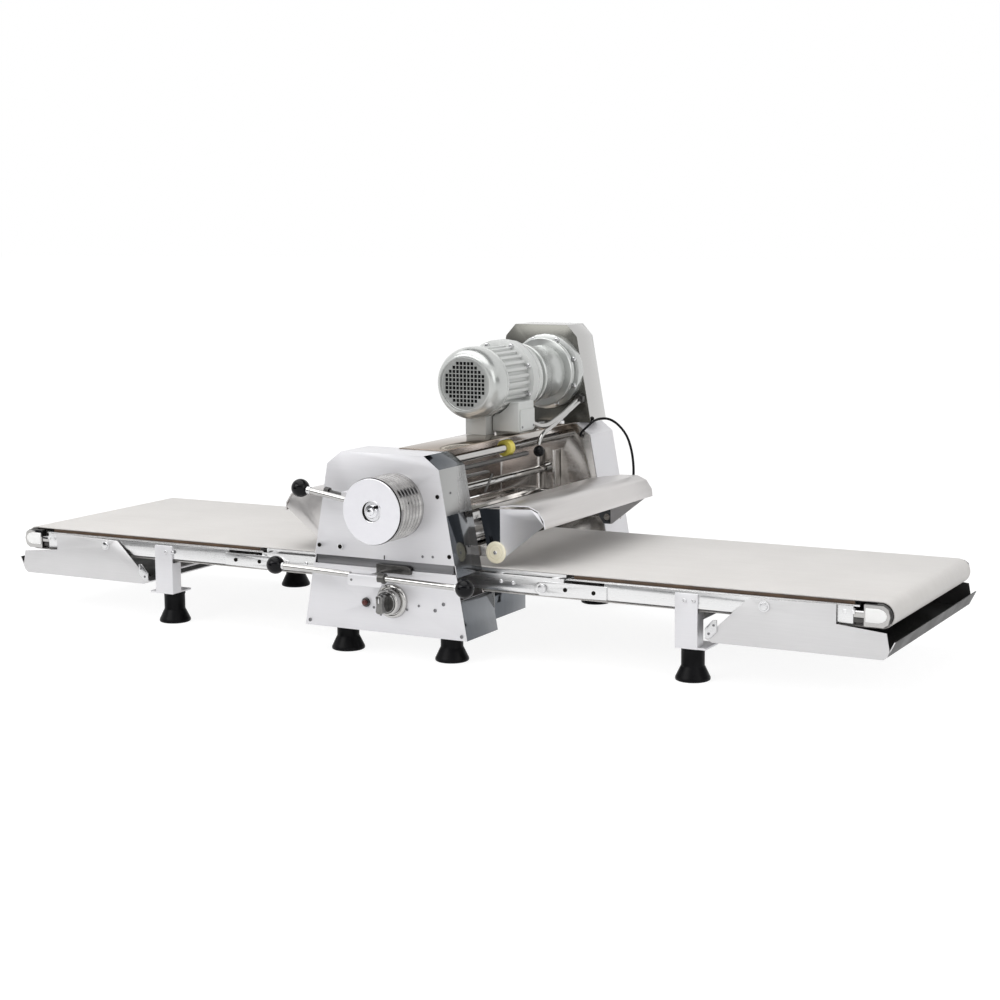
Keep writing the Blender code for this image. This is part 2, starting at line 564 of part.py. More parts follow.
def gearbox_and_drive():
    x, z, flange = MOTOR_X, MOTOR_Z, MOTOR_FLANGE
    gears = [(flange + GAP, MOTOR_RADIUS + 6), (flange + 12, MOTOR_RADIUS + 6), (flange + 12, 66),
             (flange + 86, 66), (flange + 101, 60), (flange + 166, 60), (flange + 188, 72),
             (flange + 188, 84), (TOWER_FRONT - GAP, 84)]
    gearbox = add("gearbox", turned_bm(gears, x, z), CAST)
    cut(gearbox, turned_bm([(flange + 166, 11), (TOWER_FRONT + 5, 11)], x, z, 24))
    back = SPROCKET_DEPTH + SPROCKET_WIDTH
    drive = [(flange + 168, 10), (SPROCKET_DEPTH, 10), (SPROCKET_DEPTH, SMALL_SPROCKET),
             (back, SMALL_SPROCKET), (back, 10), (back + 6, 10)]
    add("drive_sprocket", turned_bm(drive, x, z), FRAME, (x, SPROCKET_DEPTH, z))


def tube(name, points, from_depth, radius, material):
    """A cable or pipe on a smooth curve through chosen places, depths taken from a face."""
    places = [place(x, from_depth + depth, z) for x, depth, z in points]
    smooth = []
    padded = [2 * places[0] - places[1]] + places + [2 * places[-1] - places[-2]]
    steps = 3
    for before, here, after, beyond in zip(padded, padded[1:], padded[2:], padded[3:]):
        for step in range(steps):
            t = step / steps
            bend = 2 * before - 5 * here + 4 * after - beyond
            twist = 3 * here - before - 3 * after + beyond
            smooth.append(0.5 * (2 * here + (after - before) * t + bend * t * t + twist * t ** 3))
    smooth.append(places[-1])
    curve = bpy.data.curves.new(name, "CURVE")
    curve.dimensions = "3D"
    curve.bevel_depth = radius * MM
    curve.bevel_resolution = 2
    curve.use_fill_caps = True
    spline = curve.splines.new("POLY")
    spline.points.add(len(smooth) - 1)
    for point, spot in zip(spline.points, smooth):
        point.co = (*spot, 1.0)
    curve.materials.append(material)
    obj = bpy.data.objects.new(name, curve)
    bpy.context.collection.objects.link(obj)


def pipes():
    box_back = MOTOR_FRONT + 150 - TOWER_FRONT + GAP
    conduit = [(94, box_back, 448)] + CONDUIT_ROUTE + [(99, -GAP, 475)]
    tube("motor_conduit", conduit, TOWER_FRONT, CONDUIT_RADIUS, STEEL)
    ear_top = GUARD_PIVOT_Z + 10 + 2 * GAP
    tube("guard_switch_cable", CABLE_ROUTE + [(176, -4, ear_top)], REAR_PLATE, CABLE_RADIUS, BLACK)


def circle_hull(circles, sides=ROUND):
    """Outline of a band that runs round two circles, given as (x, z, radius)."""
    (xa, za, ra), (xb, zb, rb) = circles
    line = math.atan2(zb - za, xb - xa)
    lean = math.acos((ra - rb) / math.hypot(xb - xa, zb - za))
    outline = []
    for x, z, radius, start, stop in ((xb, zb, rb, line - lean, line + lean),
                                      (xa, za, ra, line + lean, line + 2 * math.pi - lean)):
        for step in range(sides // 2 + 1):
            angle = start + (stop - start) * step / (sides // 2)
            outline.append((x + radius * math.cos(angle), z + radius * math.sin(angle)))
    return outline


def drive_chain():
    def loop(grow):
        return circle_hull([(0, LOWER_ROLLER_Z, LARGE_SPROCKET + grow),
                            (MOTOR_X, MOTOR_Z, SMALL_SPROCKET + grow)])
    d0, d1 = SPROCKET_DEPTH + 1, SPROCKET_DEPTH + SPROCKET_WIDTH - 1
    chain = add("drive_chain", slab_bm(loop(5.0), d0, d1), FRAME)
    cut(chain, slab_bm(loop(0.6), d0 - 5, d1 + 5))


class Side:
    """Names and shapes for the pieces of one table, left (-1) or right (1)."""

    def __init__(self, label, sign):
        self.label = label
        self.sign = sign
        self.rail_front = BELT_FRONT - RAIL_SIDE_GAP - RAIL_THICK
        self.rail_back = BELT_BACK + RAIL_SIDE_GAP
        self.rail_out = self.rail_back + RAIL_THICK
        self.roller_z = BELT_TOP - BELT_RADIUS
        self.end_x = TABLE_REACH - BELT_RADIUS
        self.bed_top = BELT_TOP - BELT_THICK - 0.5
        self.bed_low = self.bed_top - BED_THICK

    def name(self, piece):
        return "%s_%s" % (piece, self.label)

    def block(self, x0, x1, d0, d1, z0, z1):
        return box_bm(self.sign * x0, self.sign * x1, d0, d1, z0, z1)

    def plate(self, outline, d0, d1):
        return slab_bm([(self.sign * x, z) for x, z in outline], d0, d1)

    def bar(self, profile, x, z, sides=24):
        return turned_bm(profile, self.sign * x, z, sides)

    def bore(self, d0, d1, radius, x, z, sides=24):
        return bore_bm(d0, d1, radius, self.sign * x, z, sides)

    def axis(self, x, z):
        return (self.sign * x, BELT_MIDDLE, z)


def belts(side):
    """The endless belt, parted beyond the fold so that each part follows its own body."""
    def loop(grow):
        return circle_hull([(DRIVE_ROLLER_X, side.roller_z, BELT_RADIUS + grow),
                            (side.end_x, side.roller_z, BELT_RADIUS + grow)])
    d0, d1 = BELT_FRONT - 9, BELT_BACK + 9
    over, under = BELT_TOP + 9, BELT_LOW - 9
    inner_reach = {"upper": HINGE_X + 47, "lower": HINGE_X + 54}
    outer_start = {"upper": HINGE_X + 50, "lower": HINGE_X + 58}
    for piece in ("belt_inner", "belt_outer"):
        belt = add(side.name(piece), side.plate(loop(0), BELT_FRONT, BELT_BACK), BELT)
        cut(belt, side.plate(loop(-BELT_THICK), BELT_FRONT - 5, BELT_BACK + 5))
        if piece == "belt_inner":
            x0, x1 = inner_reach, dict.fromkeys(inner_reach, TABLE_REACH + 9)
        else:
            x0, x1 = dict.fromkeys(outer_start, BELT_NEAR - 9), outer_start
        cut(belt, side.block(x0["upper"], x1["upper"], d0, d1, side.roller_z, over))
        cut(belt, side.block(x0["lower"], x1["lower"], d0, d1, under, side.roller_z + 1))


def table_arm(side):
    """Fixed arms of the head: stub rails, their bed and the fold rod."""
    front, back, out = side.rail_front, side.rail_back, side.rail_out
    top = RAIL_LOW + RAIL_HEIGHT
    stub = [(ARM_START, RAIL_LOW), (STUB_REACH - 14, RAIL_LOW), (STUB_REACH, RAIL_LOW + 12),
            (STUB_REACH, top), (ARM_START, top)]
    arm = add(side.name("table_arm"), side.plate(stub, front, front + RAIL_THICK), FRAME)
    fuse(arm, side.plate(stub, back, out))
    fuse(arm, side.block(ARM_START + 2, ARM_START + 42, back + 1, REAR_PLATE - GAP, RAIL_LOW + 4,
                         RAIL_LOW + 26))
    fuse(arm, side.block(DRIVE_ROLLER_X + 40, STUB_REACH - 2, BELT_FRONT + 1, BELT_BACK - 1,
                         side.bed_low, side.bed_top))
    for x in (COVER_BOTTOM_HALF + 12, STUB_REACH - 30):
        fuse(arm, side.block(x, x + 15, front + 2, back + 4, side.bed_low - 6, side.bed_low + 1))
    fuse(arm, rod_bm((side.sign * HINGE_X, front - 9, HINGE_Z), (side.sign * HINGE_X, out + 9, HINGE_Z),
                     HINGE_ROD))
    cut(arm, side.bore(front - 5, back + 20, ROLLER_SHAFT, DRIVE_ROLLER_X, side.roller_z))


def table_leaf(side):
    """The folding part: link plates, rails, bed and pan pivots."""
    front, back, out = side.rail_front, side.rail_back, side.rail_out
    rail_end = side.end_x - 48
    top = RAIL_LOW + RAIL_HEIGHT
    link = [(HINGE_X - 6, HINGE_Z - 14), (LEAF_START + 6, RAIL_LOW), (LEAF_START + 6, RAIL_LOW + 26),
            (HINGE_X - 6, HINGE_Z + 14), (HINGE_X - 17, HINGE_Z + 7), (HINGE_X - 17, HINGE_Z - 7)]
    rail = [(LEAF_START, RAIL_LOW), (rail_end, RAIL_LOW), (rail_end, top), (LEAF_START, top)]
    leaf = add(side.name("table_leaf"), side.plate(rail, front, front + RAIL_THICK), FRAME,
               side.axis(HINGE_X, HINGE_Z))
    fuse(leaf, side.plate(rail, back, out))
    fuse(leaf, side.plate(link, front - LINK_THICK, front - GAP))
    fuse(leaf, side.plate(link, out + GAP, out + LINK_THICK))
    for d0, d1 in ((front - 2, front + 2), (out - 2, out + 2)):
        fuse(leaf, side.block(LEAF_START + 1, LEAF_START + 5, d0, d1, RAIL_LOW + 3, RAIL_LOW + 22))
    fuse(leaf, side.block(HINGE_X + 59, rail_end - 2, BELT_FRONT + 1, BELT_BACK - 1, side.bed_low,
                          side.bed_top))
    for x in (LEAF_START + 20, rail_end - 62):
        fuse(leaf, side.block(x, x + 30, front + 2, back + 4, side.bed_low - 6, side.bed_low + 1))
    for d0, d1 in ((front - 9, front + 2), (out - 2, out + 9)):
        fuse(leaf, side.bar([(d0, HINGE_ROD), (d1, HINGE_ROD)], PAN_PIVOT_X, PAN_PIVOT_Z))
    cut(leaf, side.bore(front - 9, back + 20, HINGE_ROD, HINGE_X, HINGE_Z, 16))


def table_rollers(side):
    """The drive roller beside the press rollers, the end roller, its axle and tension blocks."""
    front, back, out = side.rail_front, side.rail_back, side.rail_out
    start, stop, radius = BELT_FRONT + 2, BELT_BACK - 2, BELT_RADIUS - BELT_THICK - GAP
    end_x, z = side.end_x, side.roller_z
    spin = [(front + 1, ROLLER_SHAFT), (start, ROLLER_SHAFT), (start, radius), (stop, radius),
            (stop, ROLLER_SHAFT), (back + 8, ROLLER_SHAFT)]
    add(side.name("drive_roller"), side.bar(spin, DRIVE_ROLLER_X, z), STEEL,
        side.axis(DRIVE_ROLLER_X, z))
    roller = add(side.name("end_roller"), side.bar([(start, radius), (stop, radius)], end_x, z), STEEL,
                 side.axis(end_x, z))
    cut(roller, side.bore(BELT_FRONT - 5, BELT_BACK + 5, END_AXLE, end_x, z))
    bar = [(BELT_FRONT - 10, END_AXLE), (BELT_BACK + 10, END_AXLE)]
    axle = add(side.name("end_axle"), side.bar(bar, end_x, z), NYLON)
    nose = [(end_x - 28, z - 20), (end_x + 8, z - 20), (end_x + 17, z - 14), (end_x + 20.5, z),
            (end_x + 17, z + 14), (end_x + 8, z + 20), (end_x - 28, z + 20)]
    for d0, d1 in ((front - 1, BELT_FRONT - 1), (BELT_BACK + 1, out + 1)):
        fuse(axle, side.plate(nose, d0, d1))
        fuse(axle, side.block(end_x - 48 + GAP, end_x - 26, d0 + 2, d1 - 2, z - 5, z + 5))


def flour_pan(side):
    """Two side plates, a floor and a curled outer lip."""
    low, end = PAN_FLOOR_Z, PAN_REACH - 14
    front, back = side.rail_front - PAN_SIDE_GAP, side.rail_out + PAN_SIDE_GAP
    cheek = [(PAN_INNER, low + 7), (PAN_INNER + 16, low), (end - 8, low), (end, low + 6),
             (end + 4, low + 16), (end - 2, low + 49), (PAN_REACH - 110, low + 58),
             (PAN_REACH - 110, low + 94), (PAN_PIVOT_X - 32, low + 90)]
    pan = add(side.name("flour_pan"), side.plate(cheek, front, front + PAN_THICK), PANEL,
              side.axis(PAN_PIVOT_X, PAN_PIVOT_Z))
    fuse(pan, side.plate(cheek, back - PAN_THICK, back))
    inner = PAN_INNER + 4
    floor = [(inner, low + 16), (inner, low + 6), (inner + 12, low), (end - 8, low), (end, low + 6),
             (PAN_REACH, low + 34), (PAN_REACH - 2.5, low + 34), (end - 1.5, low + 7.5),
             (end - 8.5, low + PAN_THICK), (inner + 13, low + PAN_THICK), (inner + 2, low + 7),
             (inner + 2, low + 16)]
    fuse(pan, side.plate(floor, front + 1, back - 1))
    cut(pan, side.bore(front - 5, back + 5, HINGE_ROD, PAN_PIVOT_X, PAN_PIVOT_Z))


def table_leg(side):
    """An open frame with a plate over each foot."""
    front, back = side.rail_front - LINK_THICK, side.rail_out + LINK_THICK
    left, right = LEG_X - LEG_WIDTH / 2, LEG_X + LEG_WIDTH / 2
    low, top = TABLE_FOOT_HEIGHT + GAP, RAIL_LOW + 28
    leg = add(side.name("table_leg"), side.block(left, right, front, side.rail_front - GAP, low, top),
              PANEL)
    fuse(leg, side.block(left, right, side.rail_out + GAP, back, low, top))
    for d0, d1 in ((front + 1, front + 66), (back - 66, back - 1)):
        fuse(leg, side.block(left + 1, right + 16, d0, d1, low, low + 4))
    for edge in (left, right - 3):
        for d0, d1 in ((front + 2, front + 30), (back - 30, back - 2)):
            fuse(leg, side.block(edge, edge + 3, d0, d1, low + 2, BELT_LOW - 2))
    fuse(leg, side.block(left + 2, right - 2, front + 20, back - 20, BELT_LOW - 18, BELT_LOW - 14))
    profile = [(0, 32), (2, 34), (8, 34), (14, 30), (26, 24), (TABLE_FOOT_HEIGHT, 23.5)]
    for end, depth in (("front", front + 35), ("rear", back - 35)):
        add("table_foot_%s_%s" % (side.label, end), upright_bm(profile, side.sign * LEG_X, depth), RUBBER)


def finger_guard(side):
    """A hood between two side panels, and its nylon pivot bush."""
    x, z = GUARD_PIVOT_X, GUARD_PIVOT_Z
    hood_end = x - 38
    panel = [(hood_end, z + 85), (x + 78, z + 90), (x + 94, z + 83), (x + 106, z + 59), (x + 30, z - 1),
             (x + 12, z - 15), (x - 8, z - 15), (x - 18, z - 1)]
    hood = [(hood_end, z + 85), (x + 34, z + 96), (x + 72, z + 97), (x + 94, z + 88), (x + 107, z + 69),
            (x + 109, z + 53), (x + 106.5, z + 53), (x + 104.5, z + 68), (x + 92.5, z + 86),
            (x + 71.5, z + 94.8), (x + 34, z + 93.8), (hood_end, z + 83)]
    guard = add(side.name("guard"), side.plate(panel, GUARD_FRONT, GUARD_FRONT + GUARD_WALL), STEEL,
                side.axis(x, z))
    fuse(guard, side.plate(panel, GUARD_BACK - GUARD_WALL, GUARD_BACK))
    fuse(guard, side.plate(hood, GUARD_FRONT, GUARD_BACK))
    for d0, radius in ((GUARD_FRONT - 3, BUSH_STEM), (GUARD_BACK - 6, REAR_STUD)):
        cut(guard, side.bore(d0, d0 + 9, radius, x, z))
    bush = [(GUARD_FRONT - 4.3, BUSH_RADIUS), (GUARD_FRONT - GAP, BUSH_RADIUS),
            (GUARD_FRONT - GAP, BUSH_STEM), (GUARD_FRONT + 2.4, BUSH_STEM)]
    add(side.name("guard_bush"), side.bar(bush, x, z, 28), NYLON)


front_upper_cover()
front_lower_cover()
rear_cover()
drive_tower()
side_plates()
base_frame()
control_box()
main_feet()
press_rollers()
roller_carriage()
gap_setting()
direction_lever()
switch_and_lamp()
tops()
motor()
gearbox_and_drive()
drive_chain()
pipes()
for table_side in (Side("left", -1), Side("right", 1)):
    belts(table_side)
    table_arm(table_side)
    table_leaf(table_side)
    table_rollers(table_side)
    flour_pan(table_side)
    table_leg(table_side)
    finger_guard(table_side)
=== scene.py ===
import json
import math

import bmesh
import bpy
from mathutils import Matrix, Quaternion, Vector

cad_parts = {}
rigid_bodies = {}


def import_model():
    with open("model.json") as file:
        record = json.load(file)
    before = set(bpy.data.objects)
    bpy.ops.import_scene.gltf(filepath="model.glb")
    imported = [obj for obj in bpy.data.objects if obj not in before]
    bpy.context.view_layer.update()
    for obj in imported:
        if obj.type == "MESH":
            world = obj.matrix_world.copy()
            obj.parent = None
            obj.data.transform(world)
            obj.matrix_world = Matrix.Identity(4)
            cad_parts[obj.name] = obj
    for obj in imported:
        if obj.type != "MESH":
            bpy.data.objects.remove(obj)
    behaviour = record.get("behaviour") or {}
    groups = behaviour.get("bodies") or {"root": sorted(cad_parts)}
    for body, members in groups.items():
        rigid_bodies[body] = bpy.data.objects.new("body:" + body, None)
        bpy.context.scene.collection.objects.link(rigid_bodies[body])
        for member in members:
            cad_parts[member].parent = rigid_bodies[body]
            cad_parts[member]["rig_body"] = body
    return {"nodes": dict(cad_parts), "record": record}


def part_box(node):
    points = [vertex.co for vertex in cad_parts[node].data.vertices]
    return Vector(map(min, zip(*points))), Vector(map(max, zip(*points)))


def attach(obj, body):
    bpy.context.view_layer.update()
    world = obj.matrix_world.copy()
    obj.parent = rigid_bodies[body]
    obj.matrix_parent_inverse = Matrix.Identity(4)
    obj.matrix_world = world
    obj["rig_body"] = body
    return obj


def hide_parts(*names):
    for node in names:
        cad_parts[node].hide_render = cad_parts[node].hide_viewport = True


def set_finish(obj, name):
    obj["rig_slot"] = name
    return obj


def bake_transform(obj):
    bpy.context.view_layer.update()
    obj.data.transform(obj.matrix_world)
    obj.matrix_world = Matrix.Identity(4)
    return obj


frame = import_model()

# Dough sheeter: finishes, fastenings, belts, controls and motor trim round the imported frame.
# Sizes are millimetres: across from the middle, back from the front cover's face, up from the bench.
scene = bpy.context.scene
nodes = frame["nodes"]
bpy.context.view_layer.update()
mm = 0.001
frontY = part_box("front_lower_cover")[0].y
sides = (("left", -1), ("right", 1))
forward, backward, upward, rightward = (0, -1, 0), (0, 1, 0), (0, 0, 1), (1, 0, 0)


def spot(x, back, up):
    return Vector((x * mm, frontY + back * mm, up * mm))


def edges(node):
    # a node's box in millimetres: x, back and up limits
    low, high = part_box(node)
    return ((low.x / mm, high.x / mm), ((low.y - frontY) / mm, (high.y - frontY) / mm), (low.z / mm, high.z / mm))


def roundNode(node):
    # a round node's axis across and up, its radius and its depth limits
    (left, right), (front, rear), (low, high) = edges(node)
    return (left + right) / 2, (low + high) / 2, (high - low) / 2, front, rear


print("frame loaded:", len(nodes), "nodes")

# Effects that several materials share.


def newGroup(name, inputs, outputs):
    group = bpy.data.node_groups.new(name, "ShaderNodeTree")
    for label, value in inputs.items():
        kind = "NodeSocketVector" if isinstance(value, tuple) else "NodeSocketFloat"
        group.interface.new_socket(label, in_out="INPUT", socket_type=kind).default_value = value
    for label in outputs:
        group.interface.new_socket(label, in_out="OUTPUT", socket_type="NodeSocketFloat")
    return group, group.nodes.new("NodeGroupInput"), group.nodes.new("NodeGroupOutput")


def addNode(tree, kind, values=None, **settings):
    node = tree.nodes.new(kind)
    for key, value in settings.items():
        setattr(node, key, value)
    for key, value in (values or {}).items():
        node.inputs[key].default_value = value
    return node


def maths(tree, operation, first, second):
    # a Math node whose two inputs are sockets or plain numbers
    node = tree.nodes.new("ShaderNodeMath")
    node.operation = operation
    for index, value in enumerate((first, second)):
        if isinstance(value, (int, float)):
            node.inputs[index].default_value = value
        else:
            tree.links.new(value, node.inputs[index])
    return node.outputs[0]


def noiseOn(tree, vector, scale, detail=4.0, roughness=0.55):
    node = addNode(tree, "ShaderNodeTexNoise", {"Scale": scale, "Detail": detail, "Roughness": roughness})
    tree.links.new(vector, node.inputs["Vector"])
    return node.outputs["Fac"]


def spread(tree, value, low, high, start=0.0, end=1.0):
    # remaps a value, clamped
    node = addNode(tree, "ShaderNodeMapRange", {"From Min": low, "From Max": high, "To Min": start, "To Max": end})
    tree.links.new(value, node.inputs["Value"])
    return node.outputs["Result"]


def grainGroup():
    # long scratches along one direction, with slow clouding over the sheet
    group, start, end = newGroup("brushGrain", {"Stretch": (20, 900, 900), "Cloud Scale": 6.0}, ("Grain", "Cloud"))
    where = addNode(group, "ShaderNodeTexCoord").outputs["Object"]
    stretched = addNode(group, "ShaderNodeVectorMath", operation="MULTIPLY")
    group.links.new(where, stretched.inputs[0])
    group.links.new(start.outputs["Stretch"], stretched.inputs[1])
    grain = noiseOn(group, stretched.outputs[0], 1.0, 5.0, 0.7)
    slow = addNode(group, "ShaderNodeTexNoise", {"Detail": 3.0, "Roughness": 0.5})
    group.links.new(where, slow.inputs["Vector"])
    group.links.new(start.outputs["Cloud Scale"], slow.inputs["Scale"])
    group.links.new(spread(group, grain, 0.3, 0.7), end.inputs["Grain"])
    group.links.new(spread(group, slow.outputs["Fac"], 0.3, 0.7), end.inputs["Cloud"])
    return group


def wearGroup():
    # bare or rubbed edges, broken up by noise
    group, start, end = newGroup("edgeWear", {"Reach": 0.06}, ("Edge",))
    point = addNode(group, "ShaderNodeNewGeometry").outputs["Pointiness"]
    where = addNode(group, "ShaderNodeTexCoord").outputs["Object"]
    above = maths(group, "SUBTRACT", point, 0.5)
    sharp = maths(group, "DIVIDE", above, start.outputs["Reach"])
    broken = maths(group, "MULTIPLY", sharp, spread(group, noiseOn(group, where, 90.0), 0.35, 0.6, 0.3, 1.0))
    group.links.new(spread(group, broken, 0.0, 1.0), end.inputs["Edge"])
    return group


def handledGroup():
    # finger marks, wiped streaks and a little flour dust on what faces up
    group, start, end = newGroup("handled", {"Amount": 0.5}, ("Smear", "Dust"))
    coords = addNode(group, "ShaderNodeTexCoord")
    where = coords.outputs["Object"]
    smear = spread(group, noiseOn(group, where, 14.0, 6.0, 0.62), 0.48, 0.72)
    group.links.new(maths(group, "MULTIPLY", smear, start.outputs["Amount"]), end.inputs["Smear"])
    facing = addNode(group, "ShaderNodeSeparateXYZ")
    group.links.new(coords.outputs["Normal"], facing.inputs[0])
    facesUp = spread(group, facing.outputs["Z"], 0.5, 1.0)
    specks = spread(group, noiseOn(group, where, 260.0, 3.0, 0.6), 0.52, 0.7)
    dust = maths(group, "MULTIPLY", maths(group, "MULTIPLY", facesUp, specks), start.outputs["Amount"])
    group.links.new(dust, end.inputs["Dust"])
    return group


def weaveGroup():
    # plain woven canvas: warp and weft ribs, with a soft mottling of flour
    group, start, end = newGroup("canvasWeave", {"Threads": 900.0}, ("Weave", "Mottle", "Streak"))
    where = addNode(group, "ShaderNodeTexCoord").outputs["Object"]
    apart = addNode(group, "ShaderNodeSeparateXYZ")
    group.links.new(where, apart.inputs[0])
    around = maths(group, "ADD", apart.outputs["X"], apart.outputs["Z"])
    turns = maths(group, "MULTIPLY", start.outputs["Threads"], 2 * math.pi)
    warp = maths(group, "SINE", maths(group, "MULTIPLY", apart.outputs["Y"], turns), 0.0)
    weft = maths(group, "SINE", maths(group, "MULTIPLY", around, turns), 0.0)
    crossed = maths(group, "MULTIPLY", warp, weft)
    group.links.new(spread(group, crossed, -1.0, 1.0), end.inputs["Weave"])
    group.links.new(spread(group, noiseOn(group, where, 9.0, 6.0, 0.6), 0.35, 0.68), end.inputs["Mottle"])
    longer = addNode(group, "ShaderNodeVectorMath", operation="MULTIPLY")
    longer.inputs[1].default_value = (3.0, 60.0, 60.0)
    group.links.new(where, longer.inputs[0])
    group.links.new(spread(group, noiseOn(group, longer.outputs[0], 1.0, 4.0, 0.6), 0.4, 0.7),
                    end.inputs["Streak"])
    return group


def skinGroup():
    # the fine orange peel of paint, moulded rubber or plastic
    group, start, end = newGroup("mouldedSkin", {"Scale": 600.0}, ("Peel", "Patch"))
    where = addNode(group, "ShaderNodeTexCoord").outputs["Object"]
    fine = addNode(group, "ShaderNodeTexNoise", {"Detail": 3.0, "Roughness": 0.5})
    group.links.new(where, fine.inputs["Vector"])
    group.links.new(start.outputs["Scale"], fine.inputs["Scale"])
    group.links.new(fine.outputs["Fac"], end.inputs["Peel"])
    group.links.new(spread(group, noiseOn(group, where, 16.0, 5.0, 0.6), 0.35, 0.65), end.inputs["Patch"])
    return group


effects = {"grain": grainGroup(), "wear": wearGroup(), "handled": handledGroup(), "weave": weaveGroup(),
           "skin": skinGroup()}

# Materials.


def startMaterial(name, values):
    made = bpy.data.materials.new(name)
    made.use_nodes = True
    shader = made.node_tree.nodes["Principled BSDF"]
    for socket, value in values.items():
        shader.inputs[socket].default_value = value
    return made, made.node_tree, shader


def effect(tree, name, values=None):
    node = tree.nodes.new("ShaderNodeGroup")
    node.node_tree = effects[name]
    for socket, value in (values or {}).items():
        node.inputs[socket].default_value = value
    return node


def blendColour(tree, factor, first, second):
    # mixes two colours, each a socket or a plain colour
    node = tree.nodes.new("ShaderNodeMix")
    node.data_type = "RGBA"
    tree.links.new(factor, node.inputs["Factor"])
    for index, value in ((6, first), (7, second)):
        if isinstance(value, tuple):
            node.inputs[index].default_value = (*value, 1.0)
        else:
            tree.links.new(value, node.inputs[index])
    return node.outputs[2]


def bump(tree, shader, height, strength, distance):
    node = addNode(tree, "ShaderNodeBump", {"Strength": strength, "Distance": distance * mm})
    tree.links.new(height, node.inputs["Height"])
    tree.links.new(node.outputs[0], shader.inputs["Normal"])


def rubbed(tree, colour, look):
    # lays the edge colour over the rubbed edges, where a finish has one
    if "edge" not in look:
        return colour
    worn = effect(tree, "wear", {"Reach": look.get("reach", 0.2)})
    return blendColour(tree, worn.outputs["Edge"], colour, look["edge"])


def metal(name, **look):
    # steel and alloy: grain, clouding, smears, rubbed edges
    made, tree, shader = startMaterial(name, {"Metallic": look.get("metallic", 1.0)})
    grain = effect(tree, "grain", {"Stretch": look["stretch"], "Cloud Scale": look.get("cloud", 6.0)})
    handled = effect(tree, "handled", {"Amount": look.get("handled", 0.4)})
    mixed = maths(tree, "MULTIPLY", maths(tree, "ADD", grain.outputs["Grain"], grain.outputs["Cloud"]), 0.5)
    colour = blendColour(tree, mixed, look["dark"], look["light"])
    colour = blendColour(tree, handled.outputs["Smear"], colour, look.get("smear", look["dark"]))
    colour = rubbed(tree, colour, look)
    tree.links.new(colour, shader.inputs["Base Color"])
    rough = spread(tree, grain.outputs["Grain"], 0.0, 1.0, look["rough"][0], look["rough"][1])
    rough = maths(tree, "ADD", rough, maths(tree, "MULTIPLY", handled.outputs["Smear"], look.get("blur", 0.08)))
    rough = maths(tree, "ADD", rough, maths(tree, "MULTIPLY", handled.outputs["Dust"], 0.25))
    tree.links.new(rough, shader.inputs["Roughness"])
    bump(tree, shader, grain.outputs["Grain"], look.get("bump", 0.1), look.get("depth", 0.05))
    return made


def moulded(name, **look):
    # paint, plastic and rubber: peel, patches, rubbed edges, dust
    made, tree, shader = startMaterial(name, {"Metallic": look.get("metallic", 0.0),
                                              "Specular IOR Level": look.get("shine", 0.5),
                                              "IOR": look.get("ior", 1.5),
                                              "Coat Weight": look.get("coat", 0.0), "Coat Roughness": 0.12})
    skin = effect(tree, "skin", {"Scale": look.get("scale", 600.0)})
    handled = effect(tree, "handled", {"Amount": look.get("handled", 0.4)})
    colour = blendColour(tree, skin.outputs["Patch"], look["dark"], look["light"])
    colour = blendColour(tree, handled.outputs["Dust"], colour, look.get("dust", look["light"]))
    colour = rubbed(tree, colour, look)
    tree.links.new(colour, shader.inputs["Base Color"])
    rough = spread(tree, skin.outputs["Patch"], 0.0, 1.0, look["rough"][0], look["rough"][1])
    rough = maths(tree, "ADD", rough, maths(tree, "MULTIPLY", handled.outputs["Dust"], 0.3))
    tree.links.new(rough, shader.inputs["Roughness"])
    bump(tree, shader, skin.outputs["Peel"], look.get("bump", 0.15), look.get("depth", 0.12))
    return made


def canvas(name, **look):
    # the belts' woven cover
    made, tree, shader = startMaterial(name, {"Sheen Weight": 0.25, "Sheen Roughness": 0.5})
    weave = effect(tree, "weave", {"Threads": look["threads"]})
    colour = blendColour(tree, weave.outputs["Mottle"], look["dark"], look["light"])
    colour = blendColour(tree, maths(tree, "MULTIPLY", weave.outputs["Streak"], look["streak"]), colour, look["worn"])
    shaded = maths(tree, "MULTIPLY", weave.outputs["Weave"], look["relief"])
    colour = blendColour(tree, shaded, colour, look["thread"])
    tree.links.new(colour, shader.inputs["Base Color"])
    tree.links.new(spread(tree, weave.outputs["Mottle"], 0.0, 1.0, 0.8, 0.95), shader.inputs["Roughness"])
    bump(tree, shader, weave.outputs["Weave"], 0.3, 0.25)
    return made


